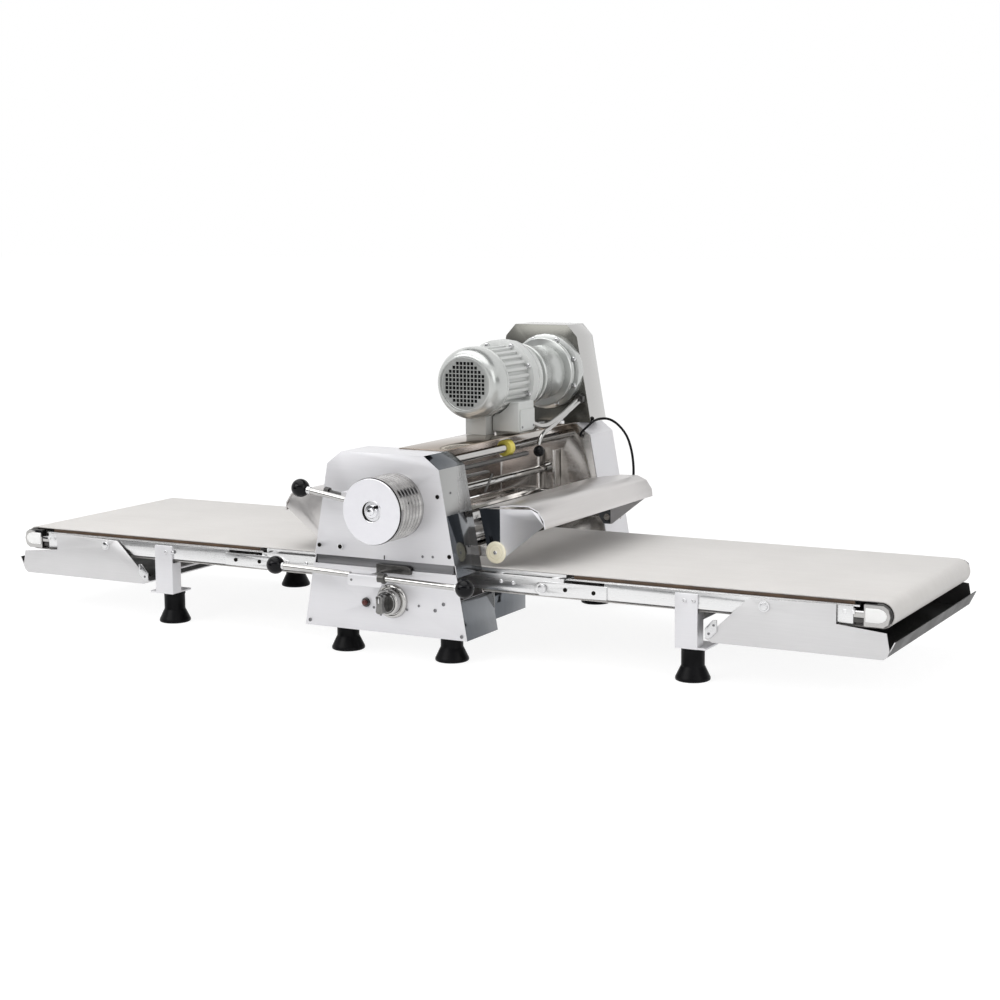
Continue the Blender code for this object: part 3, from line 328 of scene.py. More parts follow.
finishes = {
    "frame": metal("satinSteel", dark=(0.72, 0.72, 0.725), light=(0.80, 0.80, 0.80), rough=(0.24, 0.32),
        stretch=(14, 700, 700), bump=0.08, handled=0.2),
    "panel": metal("brushedSheet", dark=(0.69, 0.685, 0.705), light=(0.745, 0.74, 0.76), rough=(0.38, 0.46),
        stretch=(10, 600, 600), metallic=0.5, bump=0.06, smear=(0.72, 0.72, 0.76), handled=0.25),
    "polished": metal("mirrorSheet", dark=(0.49, 0.485, 0.48), light=(0.53, 0.525, 0.515), rough=(0.08, 0.10),
        stretch=(8, 200, 200), cloud=3.0, handled=0.15, bump=0.0, smear=(0.55, 0.54, 0.53), blur=0.04),
    "chrome": metal("groundChrome", dark=(0.42, 0.415, 0.41), light=(0.56, 0.55, 0.535), rough=(0.05, 0.09),
        stretch=(300, 300, 300), handled=0.15, bump=0.0),
    "chain": metal("oiledSteel", dark=(0.08, 0.08, 0.08), light=(0.24, 0.23, 0.21), rough=(0.28, 0.5),
        stretch=(250, 250, 250), bump=0.3, edge=(0.4, 0.38, 0.35)),
    "bearing": moulded("bearingWhite", dark=(0.80, 0.80, 0.79), light=(0.86, 0.86, 0.85), rough=(0.28, 0.4),
        scale=900.0, coat=0.2, bump=0.05),
    "turned": metal("turnedAlloy", dark=(0.66, 0.66, 0.68), light=(0.80, 0.80, 0.82), rough=(0.10, 0.18),
        stretch=(60, 900, 60), bump=0.05, handled=0.15),
    "cast": moulded("motorEnamel", dark=(0.50, 0.515, 0.50), light=(0.54, 0.55, 0.54), rough=(0.22, 0.27),
        metallic=0.6, coat=0.3, scale=300.0, bump=0.015, depth=0.04, dust=(0.52, 0.53, 0.52), handled=0.1),
    "nylon": moulded("creamNylon", dark=(0.82, 0.76, 0.58), light=(0.90, 0.85, 0.68), rough=(0.35, 0.5),
        bump=0.08),
    "cable": moulded("cableSheath", dark=(0.006, 0.006, 0.007), light=(0.014, 0.014, 0.015), shine=0.1,
        ior=1.3, rough=(0.4, 0.5), dust=(0.03, 0.03, 0.03)),
    # blackened steel for dark parts; on the end axles it is painted shade
    "dark": metal("blackSteelAndPaintedShade", dark=(0.05, 0.05, 0.05), light=(0.14, 0.135, 0.13), rough=(0.25, 0.45),
        stretch=(160, 160, 160)),
    "rubber": moulded("footRubber", dark=(0.003, 0.003, 0.0035), light=(0.007, 0.007, 0.008), ior=1.3,
        rough=(0.30, 0.38), scale=800.0, bump=0.08, shine=0.2, dust=(0.02, 0.02, 0.02)),
    "fan": moulded("fanPlastic", dark=(0.006, 0.006, 0.006), light=(0.014, 0.014, 0.014), rough=(0.5, 0.65),
        dust=(0.04, 0.04, 0.04), shine=0.1, ior=1.3),
    "lens": moulded("lampLens", dark=(0.055, 0.008, 0.006), light=(0.15, 0.022, 0.012), rough=(0.10, 0.2),
        coat=0.4, scale=900.0, bump=0.4, depth=0.3, shine=0.3),
    "knob": metal("switchSteel", dark=(0.10, 0.10, 0.10), light=(0.17, 0.165, 0.155), rough=(0.12, 0.2),
        stretch=(60, 60, 60), edge=(0.5, 0.5, 0.5)),
    "belt": canvas("beltCanvas", threads=900.0, dark=(0.62, 0.60, 0.58), light=(0.665, 0.645, 0.625),
        worn=(0.70, 0.685, 0.665), thread=(0.57, 0.55, 0.53), streak=0.25, relief=0.15),
}
trims = {
    "ball": moulded("ballBakelite", dark=(0.002, 0.002, 0.003), light=(0.005, 0.005, 0.006), ior=1.35,
        rough=(0.05, 0.08), shine=0.3, scale=300.0, bump=0.02, dust=(0.015, 0.015, 0.015)),
    "yellow": moulded("yellowCollar", dark=(0.66, 0.55, 0.08), light=(0.80, 0.69, 0.13), rough=(0.3, 0.45)),
    "screw": metal("screwSteel", dark=(0.45, 0.45, 0.46), light=(0.76, 0.76, 0.77), rough=(0.14, 0.28),
        stretch=(400, 400, 400), edge=(0.9, 0.9, 0.9)),
    "shade": moulded("shadedGap", dark=(0.006, 0.006, 0.005), light=(0.014, 0.012, 0.010), ior=1.3,
        rough=(0.55, 0.7), dust=(0.015, 0.015, 0.015), shine=0.1),
    "hood": metal("satinHood", dark=(0.60, 0.58, 0.57), light=(0.66, 0.64, 0.63), rough=(0.28, 0.36),
        stretch=(300, 6, 300), cloud=5.0, handled=0.2, bump=0.03, smear=(0.56, 0.545, 0.535)),
    # painted shade: a darker copy of the brushed sheet, for the covers' side faces
    "sidePaintedShade": metal("sidePaintedShade", dark=(0.37, 0.372, 0.37), light=(0.40, 0.402, 0.395), rough=(0.26, 0.3),
        stretch=(12, 12, 3), handled=0.1, bump=0.0),
    # painted reflection: strong dark and light streaks on the handwheel's rim
    "rimPaintedReflection": metal("rimPaintedReflection", dark=(0.14, 0.135, 0.13), light=(0.60, 0.59, 0.58), rough=(0.10, 0.16),
        stretch=(46, 5, 46), cloud=22.0, handled=0.1, bump=0.0),
    "slotBand": metal("slotBand", dark=(0.17, 0.17, 0.175), light=(0.23, 0.23, 0.24), rough=(0.3, 0.4),
        stretch=(8, 200, 200), handled=0.15, bump=0.02),
    # painted shade: near black for the flour pans' insides and their lips' outer faces, with a little flour dust
    "panPaintedShade": moulded("panPaintedShade", dark=(0.018, 0.018, 0.018), light=(0.05, 0.049, 0.048), ior=1.35,
        rough=(0.35, 0.5), shine=0.3, bump=0.02, dust=(0.06, 0.06, 0.06)),
    "panSheet": metal("panSheet", dark=(0.58, 0.575, 0.58), light=(0.66, 0.655, 0.66), rough=(0.38, 0.46),
        stretch=(10, 600, 600), metallic=0.5, bump=0.06, handled=0.25, smear=(0.60, 0.595, 0.60)),
    "skirt": metal("skirtSheet", dark=(0.50, 0.44, 0.41), light=(0.62, 0.57, 0.545), rough=(0.22, 0.26),
        stretch=(12, 2, 12), handled=0.1, bump=0.0),
    "finned": moulded("finnedEnamel", dark=(0.56, 0.572, 0.56), light=(0.60, 0.61, 0.60), rough=(0.42, 0.5),
        metallic=0.25, coat=0.1, bump=0.0, dust=(0.58, 0.59, 0.58), handled=0.05),
    # painted shadow: a dark brown band on the table leaves' sides, under the belts' edges
    "stripPaintedShadow": moulded("beltEdgePaintedShadow", dark=(0.05, 0.028, 0.016), light=(0.11, 0.065, 0.035), rough=(0.45, 0.6),
        dust=(0.12, 0.09, 0.07), handled=0.1, bump=0.02),
    "wheelFace": metal("wheelFace", dark=(0.74, 0.735, 0.77), light=(0.79, 0.785, 0.82), rough=(0.36, 0.44),
        metallic=0.2, stretch=(90, 90, 90), handled=0.1, bump=0.02),
    "warm": metal("warmMirror", dark=(0.27, 0.22, 0.18), light=(0.42, 0.36, 0.30), rough=(0.08, 0.10),
        stretch=(9, 1.5, 9), handled=0.1, bump=0.0),
    # painted shade and painted dark reflection: a dark copy of the mirror sheet for the covers' lower sides, the
    # chamfer, the control box's sides and the right guard's left front
    "dim": metal("mirrorPaintedShade", dark=(0.10, 0.108, 0.118), light=(0.145, 0.155, 0.17), rough=(0.07, 0.10),
        stretch=(60, 60, 8), handled=0.15, bump=0.0),
    # painted dark reflection on the drive tower's front face
    "towerDarkReflection": metal("paintedReflectionTower", dark=(0.125, 0.124, 0.113), light=(0.155, 0.153, 0.14),
        rough=(0.24, 0.27), stretch=(20, 20, 3), handled=0.1, bump=0.0),
    "inner": metal("innerPlate", dark=(0.46, 0.44, 0.42), light=(0.54, 0.52, 0.50), rough=(0.18, 0.26),
        stretch=(10, 200, 200), handled=0.2, bump=0.02),
}

slotOf = {row["node"]: row["material_slot"] for row in frame["record"]["subparts"]}
for name, node in nodes.items():
    node.data.materials.clear()
    node.data.materials.append(finishes[slotOf[name]])
print("materials made:", len(finishes) + len(trims))

# Modelling helpers.


def workOn(obj):
    bpy.ops.object.select_all(action="DESELECT")
    obj.select_set(True)
    bpy.context.view_layer.objects.active = obj


def editMode(obj, on):
    if on:
        workOn(obj)
    bpy.ops.object.mode_set(mode="EDIT" if on else "OBJECT")


def choose(obj, kind, test):
    # in edit mode, selects the faces, edges or vertices whose middle (and a face's normal) passes a test
    bpy.ops.mesh.select_all(action="DESELECT")
    bpy.ops.mesh.select_mode(type=kind)
    mesh = bmesh.from_edit_mesh(obj.data)
    for item in {"FACE": mesh.faces, "EDGE": mesh.edges, "VERT": mesh.verts}[kind]:
        if kind == "FACE":
            good = test(item.calc_center_median(), item.normal)
        elif kind == "EDGE":
            good = test((item.verts[0].co + item.verts[1].co) / 2, item.verts[1].co - item.verts[0].co)
        else:
            good = test(item.co, item.normal)
        item.select_set(bool(good))
    mesh.select_flush_mode()
    bmesh.update_edit_mesh(obj.data)


def facesOut():
    # in edit mode
    bpy.ops.mesh.select_all(action="SELECT")
    bpy.ops.mesh.normals_make_consistent(inside=False)


def useModifier(obj, kind, **settings):
    workOn(obj)
    change = obj.modifiers.new(kind.lower(), kind)
    for key, value in settings.items():
        setattr(change, key, value)
    bpy.ops.object.modifier_apply(modifier=change.name)


def roundEdges(obj, width, segments=2, angle=35):
    useModifier(obj, "BEVEL", width=width * mm, segments=segments, limit_method="ANGLE",
                angle_limit=math.radians(angle), use_clamp_overlap=True)


def settle(obj, name, material, body, slot=None, smooth=32):
    # a finished piece: place in its mesh, faces outwards, smooth, riding on its body
    workOn(obj)
    bpy.ops.object.transform_apply(location=True, rotation=True, scale=True)
    bpy.ops.object.mode_set(mode="EDIT")
    bpy.ops.mesh.select_all(action="SELECT")
    bpy.ops.mesh.remove_doubles(threshold=0.00001)
    bpy.ops.mesh.normals_make_consistent(inside=False)
    bpy.ops.mesh.vert_connect_concave()
    bpy.ops.object.mode_set(mode="OBJECT")
    bpy.ops.object.shade_smooth_by_angle(angle=math.radians(smooth))
    obj.name = name
    obj.data.name = name
    obj.data.materials.clear()
    obj.data.materials.append(material)
    if body:
        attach(obj, body)
    if slot:
        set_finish(obj, slot)
    return obj


def copyOf(obj, name, move=None):
    # a copy with its own mesh, moved by a matrix
    made = bpy.data.objects.new(name, obj.data.copy())
    bpy.context.collection.objects.link(made)
    made.data.name = name
    if move:
        made.data.transform(move)
    if "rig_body" in obj:
        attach(made, obj["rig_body"])
    if "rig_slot" in obj:
        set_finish(made, obj["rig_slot"])
    return made


def drawOut(steps, sides=48, open=False):
    # a disc or ring drawn out along +Z: each step is how far along, and its radius
    along, radius = steps[0]
    bpy.ops.object.select_all(action="DESELECT")
    bpy.ops.mesh.primitive_circle_add(vertices=sides, radius=radius * mm, fill_type="NOTHING" if open else "NGON",
                                      location=(0, 0, along * mm))
    obj = bpy.context.object
    bpy.ops.object.transform_apply(location=True)
    bpy.ops.object.mode_set(mode="EDIT")
    bpy.ops.mesh.select_mode(type="VERT")
    bpy.ops.mesh.select_all(action="SELECT")
    for (before, old), (after, new) in zip(steps, steps[1:]):
        bpy.ops.mesh.extrude_region_move(TRANSFORM_OT_translate={"value": (0, 0, (after - before) * mm)})
        if new != old:
            bpy.ops.transform.resize(value=(new / old, new / old, 1), center_override=(0, 0, after * mm))
    bpy.ops.object.mode_set(mode="OBJECT")
    return obj


def aim(obj, place, direction):
    # lays a piece drawn along +Z over, so that it points in a direction from a place
    obj.rotation_mode = "QUATERNION"
    obj.rotation_quaternion = Vector(direction).normalized().to_track_quat("Z", "Y")
    obj.location = place
    return obj


def turned(name, steps, place, material, body, slot=None, direction=backward, sides=48, smooth=32):
    return settle(aim(drawOut(steps, sides), place, direction), name, material, body, slot, smooth)


def ringed(name, steps, place, material, body, slot=None, direction=backward, sides=48, smooth=32):
    # an open ring: its outline closes on itself, so that the middle stays clear
    obj = drawOut(list(steps) + [steps[0]], sides, open=True)
    return settle(aim(obj, place, direction), name, material, body, slot, smooth)


def block(name, low, high, material, body, slot=None, bevel=0.8, segments=2):
    # a cube between two corners, with its edges rounded
    first, last = spot(*low), spot(*high)
    bpy.ops.object.select_all(action="DESELECT")
    bpy.ops.mesh.primitive_cube_add(size=1.0, location=(first + last) / 2)
    obj = bpy.context.object
    obj.scale = last - first
    bpy.ops.object.transform_apply(location=True, rotation=True, scale=True)
    roundEdges(obj, bevel, segments)
    return settle(obj, name, material, body, slot)


def plate(name, outline, backs, material, body, slot=None, bevel=0.5, segments=2, smooth=32):
    # an outline across and up, drawn out from one depth to another
    bpy.ops.object.select_all(action="DESELECT")
    bpy.ops.mesh.primitive_circle_add(vertices=len(outline), fill_type="NGON")
    obj = bpy.context.object
    for vertex, (x, up) in zip(obj.data.vertices, outline):
        vertex.co = spot(x, backs[0], up)
    bpy.ops.object.mode_set(mode="EDIT")
    bpy.ops.mesh.select_all(action="SELECT")
    bpy.ops.mesh.extrude_region_move(TRANSFORM_OT_translate={"value": (0, (backs[1] - backs[0]) * mm, 0)})
    facesOut()
    bpy.ops.object.mode_set(mode="OBJECT")
    if bevel:
        roundEdges(obj, bevel, segments)
    return settle(obj, name, material, body, slot, smooth)


def rod(name, start, end, radius, material, body, slot=None, sides=32, ends=1.0):
    # a bar between two places, with its ends rounded off
    first, last = spot(*start), spot(*end)
    length = (last - first).length / mm
    steps = [(0, radius - ends), (ends, radius), (length - ends, radius), (length, radius - ends)]
    return turned(name, steps, first, material, body, slot, last - first, sides)


def pipe(name, points, radius, material, body, slot=None, sides=4):
    # a smooth bent tube through a few places
    curve = bpy.data.curves.new(name, "CURVE")
    curve.dimensions = "3D"
    curve.bevel_depth = radius * mm
    curve.bevel_resolution = sides
    curve.use_fill_caps = True
    spline = curve.splines.new("BEZIER")
    spline.bezier_points.add(len(points) - 1)
    for knot, point in zip(spline.bezier_points, points):
        knot.co = spot(*point)
        knot.handle_left_type = knot.handle_right_type = "AUTO"
    obj = bpy.data.objects.new(name, curve)
    bpy.context.collection.objects.link(obj)
    workOn(obj)
    bpy.ops.object.convert(target="MESH")
    return settle(bpy.context.object, name, material, body, slot, 50)


def ball(name, centre, radius, toward, material, body, slot=None):
    # a ball knob with a flat seat where its rod screws in
    seat = Vector(toward).normalized()
    steps = []
    count = 14
    for step in range(count + 1):
        angle = math.pi * (0.10 + 0.88 * step / count)
        steps.append((-radius * math.cos(angle), radius * math.sin(angle)))
    return turned(name, steps, spot(*centre), material, body, slot, -seat, 40, 60)


def skin(node, name=None, width=0.6, segments=2, angle=35, material=None, slot=None):
    # a copy of a CAD node with rounded edges, which stands for it
    source = nodes[node]
    name = name or node + "_shell"
    obj = bpy.data.objects.new(name, source.data.copy())
    bpy.context.collection.objects.link(obj)
    editMode(obj, True)
    bpy.ops.mesh.select_all(action="SELECT")
    bpy.ops.mesh.remove_doubles(threshold=0.00002)
    bpy.ops.mesh.dissolve_limited(angle_limit=math.radians(0.6))
    editMode(obj, False)
    roundEdges(obj, width, segments, angle)
    settle(obj, name, material or finishes[slotOf[node]], source["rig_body"], slot or slotOf[node])
    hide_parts(node)
    return obj


def screwMaster(name, radius, height, socket, sides=6, material=None):
    # a domed head with a socket, drawn out towards +Z; it is copied and then removed
    steps = [(-0.5, radius * 0.98), (height * 0.45, radius), (height * 0.85, radius * 0.86), (height, radius * 0.66)]
    obj = drawOut(steps, 24)
    editMode(obj, True)
    choose(obj, "FACE", lambda middle, normal: middle.z > height * 0.98 * mm and normal.z > 0.9)
    bpy.ops.mesh.inset(thickness=(radius * 0.66 - socket) * mm, depth=0)
    bpy.ops.mesh.extrude_region_move(TRANSFORM_OT_translate={"value": (0, 0, -height * 0.55 * mm)})
    editMode(obj, False)
    return settle(obj, name, material or trims["screw"], None)


masters = {
    "cap": screwMaster("cap_master", 4.2, 2.4, 2.0),
    "small": screwMaster("small_master", 2.6, 1.2, 1.2, material=trims["slotBand"]),
    "black": screwMaster("black_master", 4.2, 2.0, 2.6, material=trims["shade"]),
    "corner": screwMaster("corner_master", 3.7, 1.6, 2.0, material=trims["slotBand"]),
    "bolt": screwMaster("bolt_master", 6.0, 4.0, 2.6),
}


def screw(kind, name, place, direction, body):
    turn = Vector(direction).normalized().to_track_quat("Z", "Y").to_matrix().to_4x4()
    made = copyOf(masters[kind], name, Matrix.Translation(spot(*place)) @ turn)
    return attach(made, body)


def screws(kind, name, places, direction, body):
    # the same screw at several places, numbered from 1
    for index, place in enumerate(places):
        screw(kind, "%s_%d" % (name, index + 1), place, direction, body)


# Camera, light and floor.
view = {"place": (2036.6, -3270.7, 879.3), "azimuth": 28.47, "elevation": 8.28, "roll": -0.42, "lens": 71.09}


def setCamera():
    turn, rise = math.radians(view["azimuth"]), math.radians(view["elevation"])
    back = Vector((math.sin(turn) * math.cos(rise), -math.cos(turn) * math.cos(rise), math.sin(rise)))
    data = bpy.data.cameras.new("studioCamera")
    data.lens = view["lens"]
    data.sensor_width = 36.0
    data.clip_end = 200.0
    camera = bpy.data.objects.new("studioCamera", data)
    scene.collection.objects.link(camera)
    camera.rotation_mode = "QUATERNION"
    straight = (-back).to_track_quat("-Z", "Y")
    camera.rotation_quaternion = straight @ Quaternion((0, 0, 1), math.radians(view["roll"]))
    camera.location = spot(*view["place"])
    scene.camera = camera


lamps = {
    "overhead": {"place": (-0.3, -0.4, 3.2), "size": (4.5, 3.0), "power": 62.0},
    "frontHigh": {"place": (-1.6, -3.6, 2.6), "size": (3.0, 1.6), "power": 50.0},
    "rightFill": {"place": (3.6, -1.2, 1.8), "size": (1.6, 2.2), "power": 14.0},
}


target = Vector((0, 0, 0.25))  # where the lamps and the cards face


def seenPlainly(tree):
    # 1 where the camera, a reflection or glass looks at it
    path = addNode(tree, "ShaderNodeLightPath").outputs
    direct = maths(tree, "MAXIMUM", path["Is Camera Ray"], path["Is Glossy Ray"])
    return maths(tree, "MAXIMUM", direct, path["Is Transmission Ray"])


def mixInto(tree, factor, first, second, output):
    mix = addNode(tree, "ShaderNodeMixShader")
    for index, socket in enumerate((factor, first.outputs[0], second.outputs[0])):
        tree.links.new(socket, mix.inputs[index])
    tree.links.new(mix.outputs[0], addNode(tree, output).inputs[0])


def setLight():
    world = bpy.data.worlds.new("studio")
    scene.world = world
    world.use_nodes = True
    tree = world.node_tree
    tree.nodes.clear()
    seen = seenPlainly(tree)
    soft = addNode(tree, "ShaderNodeBackground", {"Color": (1, 1, 1, 1), "Strength": 0.6})
    white = addNode(tree, "ShaderNodeBackground", {"Color": (1, 1, 1, 1), "Strength": 1.0})
    mixInto(tree, seen, soft, white, "ShaderNodeOutputWorld")
    for name, lamp in lamps.items():
        data = bpy.data.lights.new(name, "AREA")
        data.shape = "RECTANGLE"
        data.size, data.size_y = lamp["size"]
        data.energy = lamp["power"]
        obj = bpy.data.objects.new(name, data)
        scene.collection.objects.link(obj)
        obj.location = lamp["place"]
        obj.rotation_euler = (target - obj.location).to_track_quat("-Z", "Y").to_euler()


flags = {
    # dark cards that only reflections see
    "frontFlag": {"place": (-1.7, -2.1, 0.25), "size": (1.9, 0.9)},
    "ceilingFlag": {"place": (0.2, 0.9, 2.4), "size": (3.4, 0.9)},
    "highFrontFlag": {"place": (0.6, -2.8, 1.5), "size": (3.6, 0.6)},
    "rightFlag": {"place": (3.0, 0.6, 0.9), "size": (1.6, 0.7)},
}


def setFloor():
    bpy.ops.object.select_all(action="DESELECT")
    bpy.ops.mesh.primitive_plane_add(size=60.0, location=(0, 0, 0))
    floor = bpy.context.object
    floor.name = "studio_floor"
    made = bpy.data.materials.new("floorWhite")
    made.use_nodes = True
    tree = made.node_tree
    tree.nodes.clear()
    seen = seenPlainly(tree)
    share = maths(tree, "MULTIPLY", seen, 0.75)
    matt = addNode(tree, "ShaderNodeBsdfDiffuse", {"Color": (0.95, 0.95, 0.95, 1)})
    glow = addNode(tree, "ShaderNodeEmission", {"Color": (1, 1, 1, 1), "Strength": 1.16})
    mixInto(tree, share, matt, glow, "ShaderNodeOutputMaterial")
    floor.data.materials.append(made)
    for name, card in flags.items():
        bpy.ops.mesh.primitive_plane_add(size=1.0, location=card["place"])
        flag = bpy.context.object
        flag.name = name
        flag.scale = (card["size"][0], card["size"][1], 1.0)
        flag.rotation_euler = (target - flag.location).to_track_quat("Z", "Y").to_euler()
        flag.visible_camera = False
        flag.visible_diffuse = False
        flag.visible_shadow = False
        card = startMaterial("darkCard", {"Roughness": 1.0, "Base Color": (0.02, 0.022, 0.026, 1)})[0]
        flag.data.materials.append(card)


setCamera()
setLight()
setFloor()
scene.view_settings.view_transform = "Standard"
print("camera, light and floor set")

# Sheet metal: the width of each shell's rounded edges.
shells = {
    "front_upper_cover": 0.4, "front_lower_cover": 0.4, "rear_cover": 0.4, "drive_tower": 1.4, "top_cover": 0.4,
    "control_box": 0.4, "guard_left": 0.35, "guard_right": 0.35, "table_leaf_left": 0.5, "table_leaf_right": 0.5,
    "table_arm_left": 0.6, "table_arm_right": 0.6, "table_leg_left": 0.6, "table_leg_right": 0.6,
    "flour_pan_left": 0.35, "flour_pan_right": 0.35, "base_frame": 0.8, "motor_body": 0.7, "terminal_box": 2.2,
    "gearbox": 1.0, "tie_bar": 0.6, "end_axle_left": 1.2, "end_axle_right": 1.2, "roller_carriage": 0.8,
    "front_side_plate": 0.6, "rear_side_plate": 0.6,
}
ownFinish = {"drive_tower": finishes["polished"], "rear_side_plate": trims["inner"],
             "front_side_plate": trims["inner"], "top_cover": trims["warm"], "roller_carriage": trims["inner"],
             "motor_body": trims["finned"], "terminal_box": trims["finned"], "guard_left": trims["hood"],
             "flour_pan_left": trims["panSheet"], "flour_pan_right": trims["panSheet"],
             # the end axles are black as painted shade: the dark ring between the bearing block and the belt's wrap;
             # their ends are chrome
             "end_axle_left": finishes["dark"], "end_axle_right": finishes["dark"]}
for node, width in shells.items():
    skin(node, width=width, material=ownFinish.get(node))


def refinish(name, material, test):
    # gives the faces that pass a test their own finish
    obj = bpy.data.objects[name]
    obj.data.materials.append(material)
    for face in obj.data.polygons:
        if test(face.center, face.normal):
            face.material_index = len(obj.data.materials) - 1


def cutAcross(name, place, normal):
    # an edge loop round a shell, where its finish changes
    obj = bpy.data.objects[name]
    editMode(obj, True)
    bpy.ops.mesh.select_all(action="SELECT")
    bpy.ops.mesh.bisect(plane_co=spot(*place), plane_no=normal)
    editMode(obj, False)


# lines where painted light changes: the painted shade on the covers' lower sides, the painted dark reflection on the
# right guard's front, and the painted shadow strip under the belts
paintedShadeLine = {"cover": 298, "hood": 205, "strip": (175.5, 183.2), "stripFrom": 352}  # where finishes change
coverShadeUp, hoodReflectionEdge = paintedShadeLine["cover"], paintedShadeLine["hood"]
stripLow, stripHigh = paintedShadeLine["strip"]
cutAcross("front_upper_cover_shell", (0, 0, coverShadeUp), (0, 0, 1))
cutAcross("guard_right_shell", (hoodReflectionEdge, 0, 0), (1, 0, 0))
# painted shade on the covers' sides: darker above the line, darkest below it
for cover in ("front_upper_cover_shell", "front_lower_cover_shell"):
    refinish(cover, trims["sidePaintedShade"], lambda middle, normal: abs(normal.x) > 0.5)
    refinish(cover, trims["dim"], lambda middle, normal: abs(normal.x) > 0.8 and middle.z < coverShadeUp * mm)
# painted shade on the upper cover's chamfer and on the control box's sides
refinish("front_upper_cover_shell", trims["dim"],
         lambda middle, normal: 0.3 < normal.z < 0.95 and abs(normal.x) > 0.3)
refinish("control_box_shell", trims["dim"], lambda middle, normal: abs(normal.x) > 0.8)
# painted dark reflection on the drive tower's front face
refinish("drive_tower_shell", trims["towerDarkReflection"], lambda middle, normal: normal.y < -0.5)
for side, sign in sides:
    refinish("guard_%s_shell" % side, trims["hood"], lambda middle, normal: abs(normal.y) < 0.6)
    refinish("end_axle_%s_shell" % side, finishes["chrome"], lambda middle, normal: abs(normal.y) > 0.9)
    # painted shadow between the belt's edge and the rail, as a brown band on the leaf's side
    refinish("table_leaf_%s_shell" % side, trims["stripPaintedShadow"],
             lambda middle, normal: abs(normal.y) > 0.8 and stripLow < middle.z / mm < stripHigh
             and abs(middle.x / mm) > paintedShadeLine["stripFrom"])
    across, (panFront, panRear), (panLow, panTop) = edges("flour_pan_" + side)

    def inPan(middle, normal):
        back, up = (middle.y - frontY) / mm, middle.z / mm
        inside = panFront + 1.5 < back < panRear - 1.5 and up > panLow + 1.2
        return inside and (normal.z > -0.5 or abs(normal.y) > 0.5)

    # painted shade inside the pan and on its lip's outer face
    refinish("flour_pan_%s_shell" % side, trims["panPaintedShade"], inPan)
    refinish("flour_pan_%s_shell" % side, trims["panPaintedShade"], lambda middle, normal: normal.x * sign > 0.3)
# painted reflection: the right guard's front is dark left of the line and bright right of it
refinish("guard_right_shell", trims["dim"], lambda middle, normal: normal.y < -0.8 and middle.x < hoodReflectionEdge * mm)
refinish("guard_right_shell", finishes["panel"], lambda middle, normal: normal.y < -0.8 and middle.x > hoodReflectionEdge * mm)
print("sheet metal rounded:", len(shells))

# Belts.
belts = {"thick": 2.3, "foldFrom": 288, "foldTo": 366, "foldStep": 6, "turnSteps": 20, "bend": (292, 362)}


def makeBelt(side, sign):
    (innerX, outerX), (front, rear), (low, top) = edges("belt_outer_" + side)
    nearX = min(abs(value) for value in edges("belt_inner_" + side)[0])
    farX = max(abs(innerX), abs(outerX))
    radius = (top - low) / 2
    start, end = nearX + radius, farX - radius
    axisUp = low + radius
    bpy.ops.object.select_all(action="DESELECT")
    bpy.ops.mesh.primitive_plane_add(size=1.0)
    belt = bpy.context.object
    corners = [(start, front), (end, front), (start, rear), (end, rear)]
    for vertex, (x, back) in zip(belt.data.vertices, corners):
        vertex.co = spot(x, back, top)
    bpy.ops.object.mode_set(mode="EDIT")
    for centreX, draw in ((end, start - end), (start, 0)):
        choose(belt, "EDGE", lambda middle, along: abs(middle.x - centreX * mm) < 1e-5 and abs(along.y) > 0.1
               and (middle.z > axisUp * mm) == (draw != 0))
        bpy.ops.mesh.spin(steps=belts["turnSteps"], angle=math.pi, center=spot(centreX, 0, axisUp),
                          axis=(0, -1, 0))
        if draw:
            bpy.ops.mesh.extrude_region_move(TRANSFORM_OT_translate={"value": (draw * mm, 0, 0)})
    bpy.ops.mesh.select_all(action="SELECT")
    bpy.ops.mesh.remove_doubles(threshold=0.00002)
    for x in range(belts["foldFrom"], belts["foldTo"] + 1, belts["foldStep"]):
        bpy.ops.mesh.select_all(action="SELECT")
        bpy.ops.mesh.bisect(plane_co=spot(x, 0, 0), plane_no=(1, 0, 0))
    facesOut()
    bpy.ops.object.mode_set(mode="OBJECT")
    if sign < 0:
        belt.scale = (-1, 1, 1)
        bpy.ops.object.transform_apply(scale=True)
        editMode(belt, True)
        facesOut()
        editMode(belt, False)
    useModifier(belt, "SOLIDIFY", thickness=belts["thick"] * mm, offset=-1.0, use_even_offset=True)
    roundEdges(belt, 0.7, 2, 60)
    settle(belt, "belt_" + side, finishes["belt"], None, "belt")
    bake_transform(belt)
    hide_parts("belt_inner_" + side, "belt_outer_" + side)


for side, sign in sides:
    makeBelt(side, sign)
print("belts made")

# Guard bushes.
for side, sign in sides:
    x, up, radius, front, rear = roundNode("guard_bush_" + side)
    steps = [(front + 0.6, 8.0), (front + 0.6, 10.2), (front, 10.8), (front, 13.4), (front + 0.9, 14.0),
             (front + 0.9, 15.2), (front, 15.8), (front, radius - 2.0), (front + 1.0, radius - 0.6),
             (front + 2.4, radius), (front + 4.0, radius), (front + 4.0, 8.0), (rear, 8.0)]
    body = nodes["guard_bush_" + side]["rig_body"]
    bush = turned("bush_" + side, steps, spot(x, 0, up), finishes["nylon"], body, "nylon", sides=64, smooth=25)
    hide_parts("guard_bush_" + side)
    screw("cap", "bush_screw_" + side, (x, front + 0.6, up), forward, body)

# Gap setting: handwheel and lever.
wheel = {"face": 63.6, "groove": 3.4, "ribs": 6, "hub": 20.0, "boss": 13.0, "nut": 7.0, "recess": 4.0,
         "bore": 8.6}


